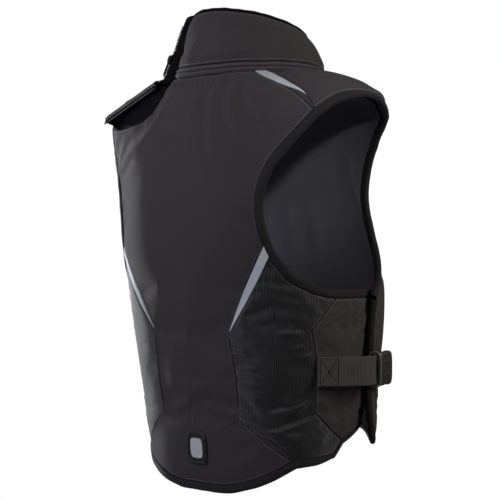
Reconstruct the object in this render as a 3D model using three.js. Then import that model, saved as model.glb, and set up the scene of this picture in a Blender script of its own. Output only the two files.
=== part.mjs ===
// A padded snow sports vest in the shape it has when worn: +Z up, +Y towards the back, +X the wearer's left.
// The origin lies between the shoulders, at the height where the vest rests on them. Sizes in millimetres.
import * as THREE from "three";

// Cloth walls, seams and edge tape
const SEAM_GAP = 0.8;
const SHELL_WALL = 5;
const LINING = { wall: 1.5, margin: 0.5 };
const FRONT_LIFT = { from: 110, to: 262, height: 12.5 };
const FRONT_FLARE = { from: 385, to: 480, height: 10 };
const BINDING = { gap: 0.8, width: 9.5, under: 6, over: 1.6, soft: 2.2 };

// Swell of each panel's outer face over its seam line, and how far from the seam it is reached
const SWELL = {
  back: { height: 7, roll: 34 },
  side: { height: 2, roll: 18 },
  wing: { height: 2.4, roll: 18 },
  yoke: { height: 6, roll: 22 },
  front: { height: 7, roll: 30 },
};

// Torso form at the seam lines: each row is one level, with its half width, the y of the spine and of the
// breastbone, and the squareness of the section
const TORSO = [
  { z: -550, halfWidth: 151, back: 81, front: -112, square: 2.6 },
  { z: -500, halfWidth: 156, back: 83, front: -115, square: 2.6 },
  { z: -440, halfWidth: 164, back: 87, front: -119, square: 2.6 },
  { z: -390, halfWidth: 170, back: 94, front: -122, square: 2.6 },
  { z: -330, halfWidth: 177, back: 104, front: -124, square: 2.6 },
  { z: -280, halfWidth: 181, back: 114, front: -123, square: 2.6 },
  { z: -240, halfWidth: 185, back: 122, front: -119, square: 2.6 },
  { z: -200, halfWidth: 190, back: 128, front: -114, square: 2.6 },
  { z: -150, halfWidth: 198, back: 131, front: -110, square: 2.55 },
  { z: -110, halfWidth: 206, back: 129, front: -108, square: 2.5 },
  { z: -70, halfWidth: 219, back: 125, front: -107, square: 2.4 },
  { z: -42, halfWidth: 230, back: 119, front: -107, square: 2.3 },
  { z: -22, halfWidth: 224, back: 113, front: -104, square: 2.2 },
  { z: -7, halfWidth: 192, back: 106, front: -99, square: 2.1 },
  { z: 6, halfWidth: 146, back: 101, front: -95, square: 2.05 },
  { z: 14, halfWidth: 110, back: 95, front: -90, square: 2.0 },
  { z: 24, halfWidth: 84, back: 82, front: -80, square: 2.0 },
];
const SHOULDER_CORE_Z = -60;

// Seams of the wearer's left half. Rows with x and z are read from behind, or from in front where they say
// so, rows with y and z from the side, and rows with x and y from above.
const BACK_SEAM_FLARE = [{ x: 140, z: -490 }, { x: 115, z: -469 }, { x: 73, z: -437 }];
const BACK_SEAM_WAIST = [{ x: 73, z: -437 }, { x: 76, z: -387 }, { x: 72, z: -328 }];
const BACK_SEAM_CHEST = [{ x: 72, z: -328 }, { x: 98, z: -283 }, { x: 117, z: -251 }, { y: 101, z: -214 }];
const WAIST_REFLECTOR_EDGE = [{ x: 72, z: -328 }, { x: 123, z: -260 }, { y: 96, z: -227 }];
const ARMHOLE_UNDER = [
  { y: 96, z: -227 },
  { y: 77, z: -256 },
  { y: 59, z: -268 },
  { y: 38, z: -276 },
  { y: 14, z: -280 },
];
const ARMHOLE_BACK = [
  { y: 101, z: -214 },
  { y: 108, z: -184 },
  { y: 110, z: -147 },
  { y: 103, z: -108 },
  { y: 94, z: -86 },
  { y: 71, z: -43 },
];
const ARMHOLE_CAP = [
  { y: 71, z: -43 },
  { y: 44, z: -24 },
  { y: 0, z: -17 },
  { y: -42, z: -29 },
  { y: -64, z: -49 },
];
const ARMHOLE_FRONT = [
  { y: -54, z: -283 },
  { y: -75, z: -252 },
  { y: -90, z: -205 },
  { y: -92, z: -150 },
  { y: -80, z: -80 },
  { y: -64, z: -49 },
];
const YOKE_BACK_SEAM = [
  { y: 71, z: -43 },
  { x: 164, y: 77 },
  { x: 133, y: 75 },
  { x: 110, y: 72 },
  { x: 84, z: 13.3 },
];
const YOKE_BACK_EDGE = [{ y: 71, z: -43 }, { x: 168, y: 69 }, { x: 137, y: 62 }, { x: 94, z: 14 }];
const YOKE_FRONT_SEAM = [
  { y: -64, z: -49 },
  { x: 168, y: -62 },
  { x: 126, y: -58 },
  { x: 92, z: 13, front: true },
];
const NECK_BACK = [{ x: 0, z: 10.5 }, { x: 42, z: 11.5 }, { x: 84, z: 13.3 }];
const NECK_SIDE = [{ x: 94, z: 14 }, { y: 0, z: 15 }, { x: 92, z: 13, front: true }];
const NECK_FRONT = [
  { x: 92, z: 13, front: true },
  { x: 68, z: 1, front: true },
  { x: 34, z: -13, front: true },
  { x: 12, z: -16, front: true },
  { x: 0, z: -16.5, front: true },
];
const WING_SEAM_LOW = [{ y: -19, z: -466 }, { y: 11, z: -446 }, { y: 32, z: -427 }];
const WING_SEAM_HIGH = [{ y: 32, z: -427 }, { y: 35, z: -392 }, { y: 39, z: -356 }, { y: 47, z: -320 }];
const WING_SEAM_TOP = [{ y: 47, z: -320 }, { y: 32, z: -301 }, { y: 14, z: -280 }];
const WING_TOP = [{ y: 14, z: -280 }, { y: -15, z: -280 }, { y: -58, z: -280 }, { y: -100, z: -284 }];
const WING_FRONT = [{ y: -100, z: -430 }, { y: -100, z: -284 }];
const WING_HEM = [{ y: -19, z: -466 }, { y: -50, z: -453 }, { y: -78, z: -440 }, { y: -100, z: -430 }];
const BACK_HEM = [
  { x: 0, z: -529 },
  { x: 44, z: -528 },
  { x: 75, z: -522 },
  { x: 104, z: -512 },
  { x: 140, z: -490 },
];
const SIDE_HEM = [{ x: 140, z: -490 }, { y: 26, z: -487 }, { y: -5, z: -483 }, { y: -19, z: -466 }];
const FRONT_SIDE = [
  { y: -64, z: -461 },
  { y: -58, z: -425 },
  { y: -56, z: -385 },
  { y: -52, z: -343 },
  { y: -52, z: -312 },
  { y: -54, z: -283 },
];
const FRONT_HEM = [
  { x: 0, z: -440, front: true },
  { x: 60, z: -444, front: true },
  { x: 112, z: -456, front: true },
  { y: -84, z: -467 },
  { y: -64, z: -461 },
];

// Collar: its top loop leans forward of the neck and drops towards the throat
const COLLAR = {
  wall: 11,
  swell: 3,
  axisY: -4,
  topRadius: 79,
  topCentreY: -7,
  backTopZ: 100,
  frontTopZ: 62,
  steps: 36,
  rows: 5,
};
const ZIP_BAND = { height: 14, wall: 8, proud: 1.2 };
const COLLAR_BINDING = { height: 5, overhang: 1, soft: 1.6 };
const CLOSURE = { width: 8, narrowing: 0.7, proudTop: 5, proudFoot: 11, steps: 8 };
const SLIDER = { width: 9, length: 13, depth: 3, pullLength: 22, pullWidth: 6, hole: 1.6 };

// Webbing and buckle on each side
const STRAP = { z: -374, width: 38, thick: 2.2, seamY: 35.5, leaveY: 29, liftedY: -36, steps: 14 };
const BUCKLE = {
  jointY: -50,
  endX: 124,
  clear: 0.5,
  loopHeight: 48,
  loopDepth: 15,
  loopLength: 13,
  loopWall: 3.2,
  bodyLength: 42,
  bodyHeight: 46,
  bodyDepth: 9,
  bevel: 1.5,
  waist: 5,
  corner: 6,
};
const FRONT_TAB = { startY: -72, endX: 110, thick: 2.2, steps: 6 };

// Blank patch low on the back
const BADGE = { z: -481, width: 38, height: 44, thick: 2.4, squareness: 4.5, steps: 8, clear: 0.7 };

const fabric = new THREE.MeshStandardMaterial({ color: 0x2b292b, roughness: 0.82, metalness: 0 });
const ribbed = new THREE.MeshStandardMaterial({ color: 0x232626, roughness: 0.9, metalness: 0 });
const satin = new THREE.MeshStandardMaterial({ color: 0x2f3038, roughness: 0.6, metalness: 0 });
const tape = new THREE.MeshStandardMaterial({ color: 0x18181a, roughness: 0.7, metalness: 0 });
const silver = new THREE.MeshStandardMaterial({ color: 0xc8d0d4, roughness: 0.4, metalness: 0.1 });
const webbing = new THREE.MeshStandardMaterial({ color: 0x3a3636, roughness: 0.85, metalness: 0 });
const plastic = new THREE.MeshStandardMaterial({ color: 0x151517, roughness: 0.45, metalness: 0 });
const metal = new THREE.MeshStandardMaterial({ color: 0x55565a, roughness: 0.35, metalness: 0.9 });
const rubber = new THREE.MeshStandardMaterial({ color: 0x121213, roughness: 0.55, metalness: 0 });

// A smooth column of the torso table that never overshoots its rows
function throughRows(key) {
  const levels = TORSO.map((row) => row.z);
  const values = TORSO.map((row) => row[key]);
  const last = TORSO.length - 1;
  const rise = levels.slice(1).map((z, i) => (values[i + 1] - values[i]) / (z - levels[i]));
  const slope = values.map((_, i) => {
    if (i === 0 || i === last) {
      return rise[Math.min(i, last - 1)];
    }
    return rise[i - 1] * rise[i] <= 0 ? 0 : (2 * rise[i - 1] * rise[i]) / (rise[i - 1] + rise[i]);
  });
  return (z) => {
    let i = 0;
    while (i < last - 1 && z > levels[i + 1]) {
      i += 1;
    }
    const span = levels[i + 1] - levels[i];
    const t = THREE.MathUtils.clamp((z - levels[i]) / span, 0, 1);
    const start = values[i] * (1 + 2 * t) + span * slope[i] * t;
    const end = values[i + 1] * (3 - 2 * t) - span * slope[i + 1] * (1 - t);
    return start * (1 - t) ** 2 + end * t ** 2;
  };
}

const halfWidthAt = throughRows("halfWidth");
const backAt = throughRows("back");
const frontAt = throughRows("front");
const squareAt = throughRows("square");

function depthAt(z, y) {
  return y > 0 ? backAt(z) : -frontAt(z);
}

// A place on the form is a turn from the spine, a quarter turn at the left side, and a height
function formPoint(place) {
  const n = squareAt(place.z);
  const across = Math.sin(place.turn);
  const along = Math.cos(place.turn);
  const reach = (Math.abs(across) ** n + Math.abs(along) ** n) ** (-1 / n);
  return new THREE.Vector3(
    halfWidthAt(place.z) * reach * across,
    depthAt(place.z, along) * reach * along,
    place.z,
  );
}

function formNormal(place) {
  const small = 0.02;
  const round = formPoint({ turn: place.turn + small, z: place.z });
  round.sub(formPoint({ turn: place.turn - small, z: place.z }));
  const rise = formPoint({ turn: place.turn, z: place.z + 1 });
  rise.sub(formPoint({ turn: place.turn, z: place.z - 1 }));
  return rise.cross(round).normalize();
}

function onForm(place, offset) {
  return formPoint(place).addScaledVector(formNormal(place), offset);
}

function isInside(point) {
  const n = squareAt(point.z);
  const across = Math.abs(point.x) / halfWidthAt(point.z);
  const along = Math.abs(point.y) / depthAt(point.z, point.y);
  return across ** n + along ** n < 1;
}

function bisect(isLow, low, high) {
  let [from, to] = [low, high];
  for (let i = 0; i < 40; i += 1) {
    const middle = (from + to) / 2;
    if (isLow(middle)) {
      from = middle;
    } else {
      to = middle;
    }
  }
  return (from + to) / 2;
}

function placeAt(point) {
  const across = point.x / halfWidthAt(point.z);
  return { turn: Math.atan2(across, point.y / depthAt(point.z, point.y)), z: point.z };
}

// The place where a point lands on the form, pushed out from the spine's axis or from between the shoulders
function toForm(point) {
  const core = new THREE.Vector3(0, 0, Math.min(point.z, SHOULDER_CORE_Z));
  const reach = point.clone().sub(core);
  const share = bisect((t) => isInside(core.clone().addScaledVector(reach, t)), 0.2, 3);
  return placeAt(core.addScaledVector(reach, share));
}

function pointOf(row) {
  if (row.z === undefined) {
    const top = TORSO.at(-1).z;
    const z = bisect((level) => isInside(new THREE.Vector3(row.x, row.y, level)), -40, top);
    return new THREE.Vector3(row.x, row.y, z);
  }
  const n = squareAt(row.z);
  if (row.x !== undefined) {
    const across = row.x / halfWidthAt(row.z);
    const depth = row.front ? frontAt(row.z) : backAt(row.z);
    return new THREE.Vector3(row.x, depth * (1 - across ** n) ** (1 / n), row.z);
  }
  const along = Math.abs(row.y) / depthAt(row.z, row.y);
  return new THREE.Vector3(halfWidthAt(row.z) * (1 - along ** n) ** (1 / n), row.y, row.z);
}

// A smooth run of places through seam rows, evenly spaced
function trace(rows, steps) {
  const curve = new THREE.CatmullRomCurve3(rows.map(pointOf), false, "centripetal");
  return curve.getSpacedPoints(steps).map(toForm);
}

function join(...runs) {
  return runs.flatMap((run, i) => (i === 0 ? run : run.slice(1)));
}

function reversed(run) {
  return [...run].reverse();
}

function mirrored(run) {
  return run.map((place) => ({ turn: -place.turn, z: place.z }));
}

// A run over the middle of the body, from the wearer's right to the left, out of a run from the middle
function bothHalves(run) {
  return join(reversed(mirrored(run)), run);
}

// A grid of places between four runs: bottom and top run alike, and so do left and right
function patch(bottom, top, left, right) {
  const [low, high, near, far] = [bottom, top, left, right].map((run) => run.map(formPoint));
  const lastRow = near.length - 1;
  const lastColumn = low.length - 1;
  const corners = [low[0], low[lastColumn], high[0], high[lastColumn]];
  return near.map((_, i) => low.map((__, j) => {
    const u = j / lastColumn;
    const v = i / lastRow;
    const point = near[i].clone().lerp(far[i], u).add(low[j].clone().lerp(high[j], v));
    const base = corners[0].clone().lerp(corners[1], u);
    const crown = corners[2].clone().lerp(corners[3], u);
    return toForm(point.sub(base.lerp(crown, v)));
  }));
}

// Draws the rim of a grid in by a gap
function inset(grid, gap) {
  const pull = (place, next) => {
    const from = formPoint(place);
    const to = formPoint(next);
    return toForm(from.lerp(to, gap / from.distanceTo(to)));
  };
  const sides = grid.map((row) => [pull(row[0], row[1]), ...row.slice(1, -1), pull(row.at(-1), row.at(-2))]);
  const bottom = sides[0].map((place, j) => pull(place, sides[1][j]));
  const top = sides.at(-1).map((place, j) => pull(place, sides.at(-2)[j]));
  return [bottom, ...sides.slice(1, -1), top];
}

function solid(points, triangles) {
  const share = ([a, b, c]) => points[a].dot(points[b].clone().cross(points[c]));
  const volume = triangles.reduce((sum, triangle) => sum + share(triangle), 0);
  const facingOut = volume > 0 ? triangles : triangles.map(([a, b, c]) => [a, c, b]);
  const geometry = new THREE.BufferGeometry();
  geometry.setAttribute("position", new THREE.Float32BufferAttribute(points.flatMap((p) => p.toArray()), 3));
  geometry.setIndex(facingOut.flat());
  geometry.computeVertexNormals();
  return geometry;
}

function quad(a, b, c, d) {
  return [[a, b, c], [a, c, d]];
}

// Splits a face of four corners along its shorter diagonal, so that both halves of the body match
function shortSplit(points, a, b, c, d) {
  const isShort = points[a].distanceTo(points[c]) <= points[b].distanceTo(points[d]);
  return isShort ? quad(a, b, c, d) : quad(b, c, d, a);
}

// A closed wall between two grids of points of the same size
function wallBetween(outer, inner) {
  const rows = outer.length;
  const columns = outer[0].length;
  const points = [...outer.flat(), ...inner.flat()];
  const out = (i, j) => i * columns + j;
  const back = (i, j) => rows * columns + out(i, j);
  const triangles = [];
  for (let i = 0; i < rows - 1; i += 1) {
    for (let j = 0; j < columns - 1; j += 1) {
      triangles.push(...shortSplit(points, out(i, j), out(i, j + 1), out(i + 1, j + 1), out(i + 1, j)));
      triangles.push(...shortSplit(points, back(i, j), back(i + 1, j), back(i + 1, j + 1), back(i, j + 1)));
    }
  }
  const top = rows - 1;
  for (let j = 0; j < columns - 1; j += 1) {
    const far = j + 1;
    triangles.push(...shortSplit(points, out(0, j), back(0, j), back(0, far), out(0, far)));
    triangles.push(...shortSplit(points, out(top, j), out(top, far), back(top, far), back(top, j)));
  }
  const side = columns - 1;
  for (let i = 0; i < rows - 1; i += 1) {
    triangles.push(...shortSplit(points, out(i, 0), out(i + 1, 0), back(i + 1, 0), back(i, 0)));
    triangles.push(...shortSplit(points, out(i, side), back(i, side), back(i + 1, side), out(i + 1, side)));
  }
  return solid(points, triangles);
}

// A solid swept through equal rings of points, with flat ends
function swept(rings) {
  const sides = rings[0].length;
  const triangles = [];
  for (let i = 0; i < rings.length - 1; i += 1) {
    for (let k = 0; k < sides; k += 1) {
      const far = (k + 1) % sides;
      triangles.push(...quad(i * sides + k, i * sides + far, (i + 1) * sides + far, (i + 1) * sides + k));
    }
  }
  const end = (rings.length - 1) * sides;
  for (let k = 1; k < sides - 1; k += 1) {
    triangles.push([0, k + 1, k]);
    triangles.push([end, end + k, end + k + 1]);
  }
  return solid(rings.flat(), triangles);
}

// How much of the full swell each place of a grid has, from its distance to the nearest seam
function swellShares(grid, roll) {
  const points = grid.map((row) => row.map(formPoint));
  const lengths = (run) => {
    let sum = 0;
    return run.map((point, i) => {
      sum += i === 0 ? 0 : point.distanceTo(run[i - 1]);
      return sum;
    });
  };
  const across = points.map(lengths);
  const along = points[0].map((_, j) => lengths(points.map((row) => row[j])));
  return grid.map((row, i) => row.map((_, j) => {
    const side = Math.min(across[i][j], across[i].at(-1) - across[i][j]);
    const end = Math.min(along[j][i], along[j].at(-1) - along[j][i]);
    return THREE.MathUtils.smoothstep(Math.min(side, end), 0, roll);
  }));
}

function noLift() {
  return 0;
}

// The front stands off the form below the armholes, where it lies over the wings, and hangs straight below
function frontLift(z) {
  const rise = ({ from, to, height }) => height * THREE.MathUtils.smoothstep(-z, from, to);
  return rise(FRONT_LIFT) + rise(FRONT_FLARE);
}

// A padded panel: smooth inside, swelling outside away from its seams
function paddedPanel(places, swell, lift = noLift) {
  const grid = inset(places, SEAM_GAP / 2);
  const shares = swellShares(grid, swell.roll);
  const outer = grid.map((row, i) => row.map((place, j) => {
    return onForm(place, lift(place.z) + swell.height * shares[i][j]);
  }));
  const inner = grid.map((row) => row.map((place) => onForm(place, lift(place.z) - SHELL_WALL)));
  return wallBetween(outer, inner);
}

// A thin wall that follows the form between two offsets
function plainWall(places, gap, high, low, lift = noLift) {
  const grid = inset(places, gap);
  const outer = grid.map((row) => row.map((place) => onForm(place, lift(place.z) + high)));
  const inner = grid.map((row) => row.map((place) => onForm(place, lift(place.z) + low)));
  return wallBetween(outer, inner);
}

// A soft tape that wraps a panel's edge: side 1 puts it to the left of the run, seen from outside
function boundEdge(run, side, lifts) {
  const base = run.map((place, i) => onForm(place, lifts[i]));
  const { gap, width, under, over, soft } = BINDING;
  const section = [
    { across: gap, up: -under },
    { across: width - soft, up: -under },
    { across: width, up: soft - under },
    { across: width, up: over - soft },
    { across: width - soft, up: over },
    { across: gap, up: over },
  ];
  return swept(run.map((place, i) => {
    const before = base[Math.max(i - 1, 0)];
    const after = base[Math.min(i + 1, run.length - 1)];
    const normal = formNormal(place);
    const outward = normal.clone().cross(after.clone().sub(before)).normalize().multiplyScalar(side);
    return section.map(({ across, up }) => {
      return base[i].clone().addScaledVector(outward, across).addScaledVector(normal, up);
    });
  }));
}

// The way straight out of the form, with no rise
function levelNormal(place) {
  const normal = formNormal(place);
  normal.z = 0;
  return normal.normalize();
}

function beside(place, offset) {
  return formPoint(place).addScaledVector(levelNormal(place), offset);
}

// Distance of a piece's outer face straight out of the form at a place
function heightOver(geometry, place) {
  const start = 90;
  const ray = new THREE.Raycaster(beside(place, start), levelNormal(place).negate());
  const hits = ray.intersectObject(new THREE.Mesh(geometry, fabric));
  return hits.length > 0 ? start - hits[0].distance : -start;
}

// Runs shared by neighbouring panels
const chestSteps = 5;
const yokeSteps = 5;
const seamBelowChest = join(trace(BACK_SEAM_FLARE, 3), trace(BACK_SEAM_WAIST, 4));
const backSeam = join(seamBelowChest, trace(BACK_SEAM_CHEST, chestSteps));
const sideSeam = join(seamBelowChest, trace(WAIST_REFLECTOR_EDGE, chestSteps));
const wingSeam = join(trace(WING_SEAM_LOW, 3), trace(WING_SEAM_HIGH, 5), trace(WING_SEAM_TOP, 4));
const wingFront = trace(WING_FRONT, wingSeam.length - 1);
const armholeUnder = trace(ARMHOLE_UNDER, 6);
const armholeBack = trace(ARMHOLE_BACK, 8);
const armholeCap = trace(ARMHOLE_CAP, 8);
const armholeFront = trace(ARMHOLE_FRONT, 8);
const wingTop = trace(WING_TOP, 6);
const wingHem = trace(WING_HEM, 6);
const backHem = trace(BACK_HEM, 9);
const sideHem = trace(SIDE_HEM, 6);
const frontSide = trace(FRONT_SIDE, 6);
const frontHem = trace(FRONT_HEM, 9);
const neckBack = trace(NECK_BACK, 4);
const neckSide = trace(NECK_SIDE, 8);
const neckFront = trace(NECK_FRONT, 4);
const yokeBackSeam = trace(YOKE_BACK_SEAM, yokeSteps);
const yokeBackEdge = trace(YOKE_BACK_EDGE, yokeSteps);
const yokeFrontSeam = trace(YOKE_FRONT_SEAM, yokeSteps);

// Panels of the shell
function backPanelPlaces() {
  const side = join(backSeam, armholeBack);
  const top = join(neckBack, reversed(yokeBackSeam));
  return patch(bothHalves(backHem), bothHalves(top), mirrored(side), side);
}

function frontPanelPlaces() {
  const side = join(frontSide, armholeFront);
  const top = join(reversed(neckFront), reversed(yokeFrontSeam));
  return patch(bothHalves(frontHem), bothHalves(top), mirrored(side), side);
}

function sidePanelPlaces() {
  return patch(sideHem, armholeUnder, sideSeam, wingSeam);
}

function wingPlaces() {
  return patch(wingHem, wingTop, wingSeam, wingFront);
}

function yokePlaces() {
  return patch(armholeCap, neckSide, yokeBackEdge, yokeFrontSeam);
}

// A wedge between two seams that start at one point
function wedgePlaces(nearSeam, farSeam) {
  return nearSeam.slice(1).map((place, i) => {
    const middle = toForm(formPoint(place).lerp(formPoint(farSeam[i + 1]), 0.5));
    return [place, middle, farSeam[i + 1]];
  });
}

// Tapes
function armholeBinding() {
  const back = join(reversed(wingTop), reversed(armholeUnder), armholeBack, armholeCap);
  const front = reversed(armholeFront).slice(1);
  const run = [...back, ...front];
  const lifts = run.map((place, i) => (i < back.length ? 0 : frontLift(place.z)));
  return boundEdge(run, 1, lifts);
}

function backHemBinding() {
  const left = join(backHem, sideHem, wingHem, wingFront);
  const run = bothHalves(left);
  return boundEdge(run, 1, run.map(noLift));
}

function frontEdgeBinding() {
  const run = bothHalves(join(frontHem, frontSide));
  return boundEdge(run, -1, run.map((place) => frontLift(place.z)));
}

// The neck loop starts at the wearer's left end of the back neck and goes round by the spine
function neckLoop() {
  const back = neckBack.map(formPoint);
  const rest = [...neckSide, ...neckFront.slice(1)].map(formPoint);
  const across = (point) => new THREE.Vector3(-point.x, point.y, point.z);
  const rightHalf = [...back.slice(1), ...rest].map(across);
  const leftFront = [...rest].reverse().slice(1);
  const round = [...back.reverse(), ...rightHalf, ...leftFront];
  return new THREE.CatmullRomCurve3(round, true, "centripetal");
}

const neck = neckLoop();

// A column of the collar's outer face at a share of the way round: its foot, its top and the way out
function collarColumn(share) {
  const foot = neck.getPointAt(share);
  foot.z += SEAM_GAP;
  const out = new THREE.Vector3(foot.x, foot.y - COLLAR.axisY, 0).normalize();
  const throat = (1 - out.y) / 2;
  const top = new THREE.Vector3(0, COLLAR.topCentreY, 0).addScaledVector(out, COLLAR.topRadius);
  top.z = THREE.MathUtils.lerp(COLLAR.backTopZ, COLLAR.frontTopZ, throat);
  return { foot, top, out, height: foot.distanceTo(top) };
}

function onCollar(column, height, offset) {
  const share = height / column.height;
  const swell = COLLAR.swell * Math.sin(Math.PI * THREE.MathUtils.clamp(share, 0, 1));
  return column.foot.clone().lerp(column.top, share).addScaledVector(column.out, swell + offset);
}

function collarColumns() {
  const open = (CLOSURE.width / 2 + SEAM_GAP) / neck.getLength();
  const columns = [];
  for (let i = 0; i <= COLLAR.steps; i += 1) {
    columns.push(collarColumn(THREE.MathUtils.lerp(open, 1 - open, i / COLLAR.steps)));
  }
  return columns;
}

const collarRound = collarColumns();

function collarWall(rows, from, to, outer, wall) {
  const grid = (offset) => Array.from({ length: rows + 1 }, (_, i) => {
    return collarRound.map((column) => {
      const height = THREE.MathUtils.lerp(from, to(column), i / rows);
      return onCollar(column, height, offset);
    });
  });
  return wallBetween(grid(outer), grid(outer - wall));
}

function collarGeometry() {
  return collarWall(COLLAR.rows, ZIP_BAND.height + SEAM_GAP, (column) => column.height, 0, COLLAR.wall);
}

function zipBandGeometry() {
  return collarWall(1, 0, () => ZIP_BAND.height, ZIP_BAND.proud, ZIP_BAND.wall);
}

function collarTopBinding() {
  const { height, overhang, soft } = COLLAR_BINDING;
  const inner = -COLLAR.wall - overhang;
  const section = [
    { across: inner, up: SEAM_GAP },
    { across: inner, up: height - soft },
    { across: inner + soft, up: height },
    { across: overhang - soft, up: height },
    { across: overhang, up: height - soft },
    { across: overhang, up: SEAM_GAP },
  ];
  return swept(collarRound.map((column) => section.map(({ across, up }) => {
    const point = onCollar(column, column.height, across);
    point.z += up;
    return point;
  })));
}

function closureProud(share) {
  return THREE.MathUtils.lerp(CLOSURE.proudFoot, CLOSURE.proudTop, share ** 2);
}

// The closing strip fills the collar's gap and stands proud, most at its foot
function closureGeometry() {
  const column = collarColumn(0);
  const round = new THREE.Vector3(column.out.y, -column.out.x, 0);
  const rings = [];
  for (let i = 0; i <= CLOSURE.steps; i += 1) {
    const share = i / CLOSURE.steps;
    const proud = closureProud(share);
    const ring = [
      { across: -COLLAR.wall, side: 0.5 },
      { across: proud - 2, side: 0.5 },
      { across: proud, side: 0.2 },
      { across: proud, side: -0.2 },
      { across: proud - 2, side: -0.5 },
      { across: -COLLAR.wall, side: -0.5 },
    ];
    const width = CLOSURE.width * THREE.MathUtils.lerp(1, CLOSURE.narrowing, share);
    rings.push(ring.map(({ across, side }) => {
      return onCollar(column, share * column.height, across).addScaledVector(round, side * width);
    }));
  }
  return swept(rings);
}

// A slider with its pull, standing on the strip's outer face near its foot
function sliderMesh() {
  const { width, length, depth, pullLength, pullWidth, hole } = SLIDER;
  const outline = new THREE.Shape();
  outline.moveTo(-width / 2, 0);
  outline.lineTo(-width / 2, length);
  outline.lineTo(width / 2, length);
  outline.lineTo(width / 2, 0);
  outline.lineTo(pullWidth / 2, -2);
  outline.lineTo(pullWidth / 2, -pullLength + pullWidth / 2);
  outline.absarc(0, -pullLength + pullWidth / 2, pullWidth / 2, 0, -Math.PI, true);
  outline.lineTo(-pullWidth / 2, -2);
  const eye = new THREE.Path();
  eye.absarc(0, -pullLength + pullWidth / 2, hole, 0, 2 * Math.PI, false);
  outline.holes.push(eye);
  const mesh = new THREE.Mesh(
    new THREE.ExtrudeGeometry(outline, { depth, bevelEnabled: false, curveSegments: 6 }),
    metal,
  );
  const column = collarColumn(0);
  const onStrip = (height) => onCollar(column, height, closureProud(height / column.height));
  const foot = onStrip(0);
  const up = onStrip(length + pullLength).sub(foot).normalize();
  const side = up.clone().cross(column.out).normalize();
  const out = side.clone().cross(up);
  mesh.quaternion.setFromRotationMatrix(new THREE.Matrix4().makeBasis(side, up, out));
  mesh.position.copy(foot).addScaledVector(up, pullLength).addScaledVector(out, SEAM_GAP);
  mesh.name = "collar_zip_slider";
  return mesh;
}

// The patch is a soft-cornered plate laid on the back
function badgeGeometry(backGeometry) {
  const centre = placeAt(pointOf({ x: 0, z: BADGE.z }));
  const ring = (scale) => (k) => {
    const angle = (2 * Math.PI * k) / (4 * BADGE.steps);
    const n = BADGE.squareness;
    const [c, s] = [Math.cos(angle), Math.sin(angle)];
    const reach = scale * (Math.abs(c) ** n + Math.abs(s) ** n) ** (-1 / n);
    return { x: (BADGE.width / 2) * reach * c, z: centre.z + (BADGE.height / 2) * reach * s };
  };
  const behind = (spot) => {
    const ray = new THREE.Raycaster(new THREE.Vector3(spot.x, 300, spot.z), new THREE.Vector3(0, -1, 0));
    return ray.intersectObject(new THREE.Mesh(backGeometry, fabric))[0].point;
  };
  const lifted = (scale, lift) => Array.from({ length: 4 * BADGE.steps }, (_, k) => {
    const point = behind(ring(scale)(k));
    point.y += BADGE.clear + lift;
    return point;
  });
  return swept([lifted(0.2, 0), lifted(0.6, 0), lifted(1, 0), lifted(1, BADGE.thick - 0.6),
    lifted(0.95, BADGE.thick), lifted(0.6, BADGE.thick), lifted(0.2, BADGE.thick)]);
}

// Webbing laid across places, each with its height over the form
function webbingBand(places, heights, thick) {
  const edges = [-STRAP.width / 2, STRAP.width / 2];
  const grid = (extra) => places.map((place, i) => edges.map((rise) => {
    return beside({ turn: place.turn, z: place.z + rise }, heights[i] + extra);
  }));
  return wallBetween(grid(thick), grid(0));
}

function highestOver(geometry, place) {
  const rises = [-STRAP.width / 2, 0, STRAP.width / 2];
  return Math.max(...rises.map((rise) => heightOver(geometry, { turn: place.turn, z: place.z + rise })));
}

function frontTabGeometry(frontGeometry) {
  const rows = [{ y: FRONT_TAB.startY, z: STRAP.z }, { x: FRONT_TAB.endX, z: STRAP.z, front: true }];
  const places = trace(rows, FRONT_TAB.steps);
  const heights = places.map((place) => highestOver(frontGeometry, place) + SEAM_GAP);
  return webbingBand(places, heights, FRONT_TAB.thick);
}

// The buckle's frame: origin where loop and body meet, x back along the strap, y up, z outwards
function buckleFrame(frontGeometry) {
  const place = placeAt(pointOf({ y: BUCKLE.jointY, z: STRAP.z }));
  const origin = formPoint(place);
  const out = levelNormal(place);
  const up = new THREE.Vector3(0, 0, 1);
  const back = up.clone().cross(out);
  const under = [
    { y: BUCKLE.jointY + BUCKLE.loopLength, z: STRAP.z },
    { x: BUCKLE.endX, z: STRAP.z, front: true },
  ];
  const footprint = trace(under, 8);
  const heights = footprint.map((spot) => {
    const height = highestOver(frontGeometry, spot) + FRONT_TAB.thick + 2 * SEAM_GAP;
    return beside(spot, height).sub(origin).dot(out);
  });
  const frame = new THREE.Group();
  frame.quaternion.setFromRotationMatrix(new THREE.Matrix4().makeBasis(back, up, out));
  frame.position.copy(origin).addScaledVector(out, Math.max(...heights) + BUCKLE.clear);
  return frame;
}

function roundedSlot(path, width, height) {
  const radius = height / 2;
  const reach = width / 2 - radius;
  path.moveTo(-reach, -radius);
  path.lineTo(reach, -radius);
  path.absarc(reach, 0, radius, -Math.PI / 2, Math.PI / 2, false);
  path.lineTo(-reach, radius);
  path.absarc(-reach, 0, radius, Math.PI / 2, 1.5 * Math.PI, false);
  return path;
}

// An oval loop that the strap runs into, turned to face back along the strap
function buckleLoop() {
  const { loopHeight, loopDepth, loopLength, loopWall } = BUCKLE;
  const outline = roundedSlot(new THREE.Shape(), loopHeight, loopDepth);
  outline.holes.push(roundedSlot(new THREE.Path(), loopHeight - 2 * loopWall, loopDepth - 2 * loopWall));
  const options = { depth: loopLength, bevelEnabled: false, curveSegments: 6 };
  const geometry = new THREE.ExtrudeGeometry(outline, options);
  geometry.rotateZ(Math.PI / 2);
  geometry.rotateY(Math.PI / 2);
  geometry.translate(SEAM_GAP, 0, loopDepth / 2);
  return geometry;
}

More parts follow.
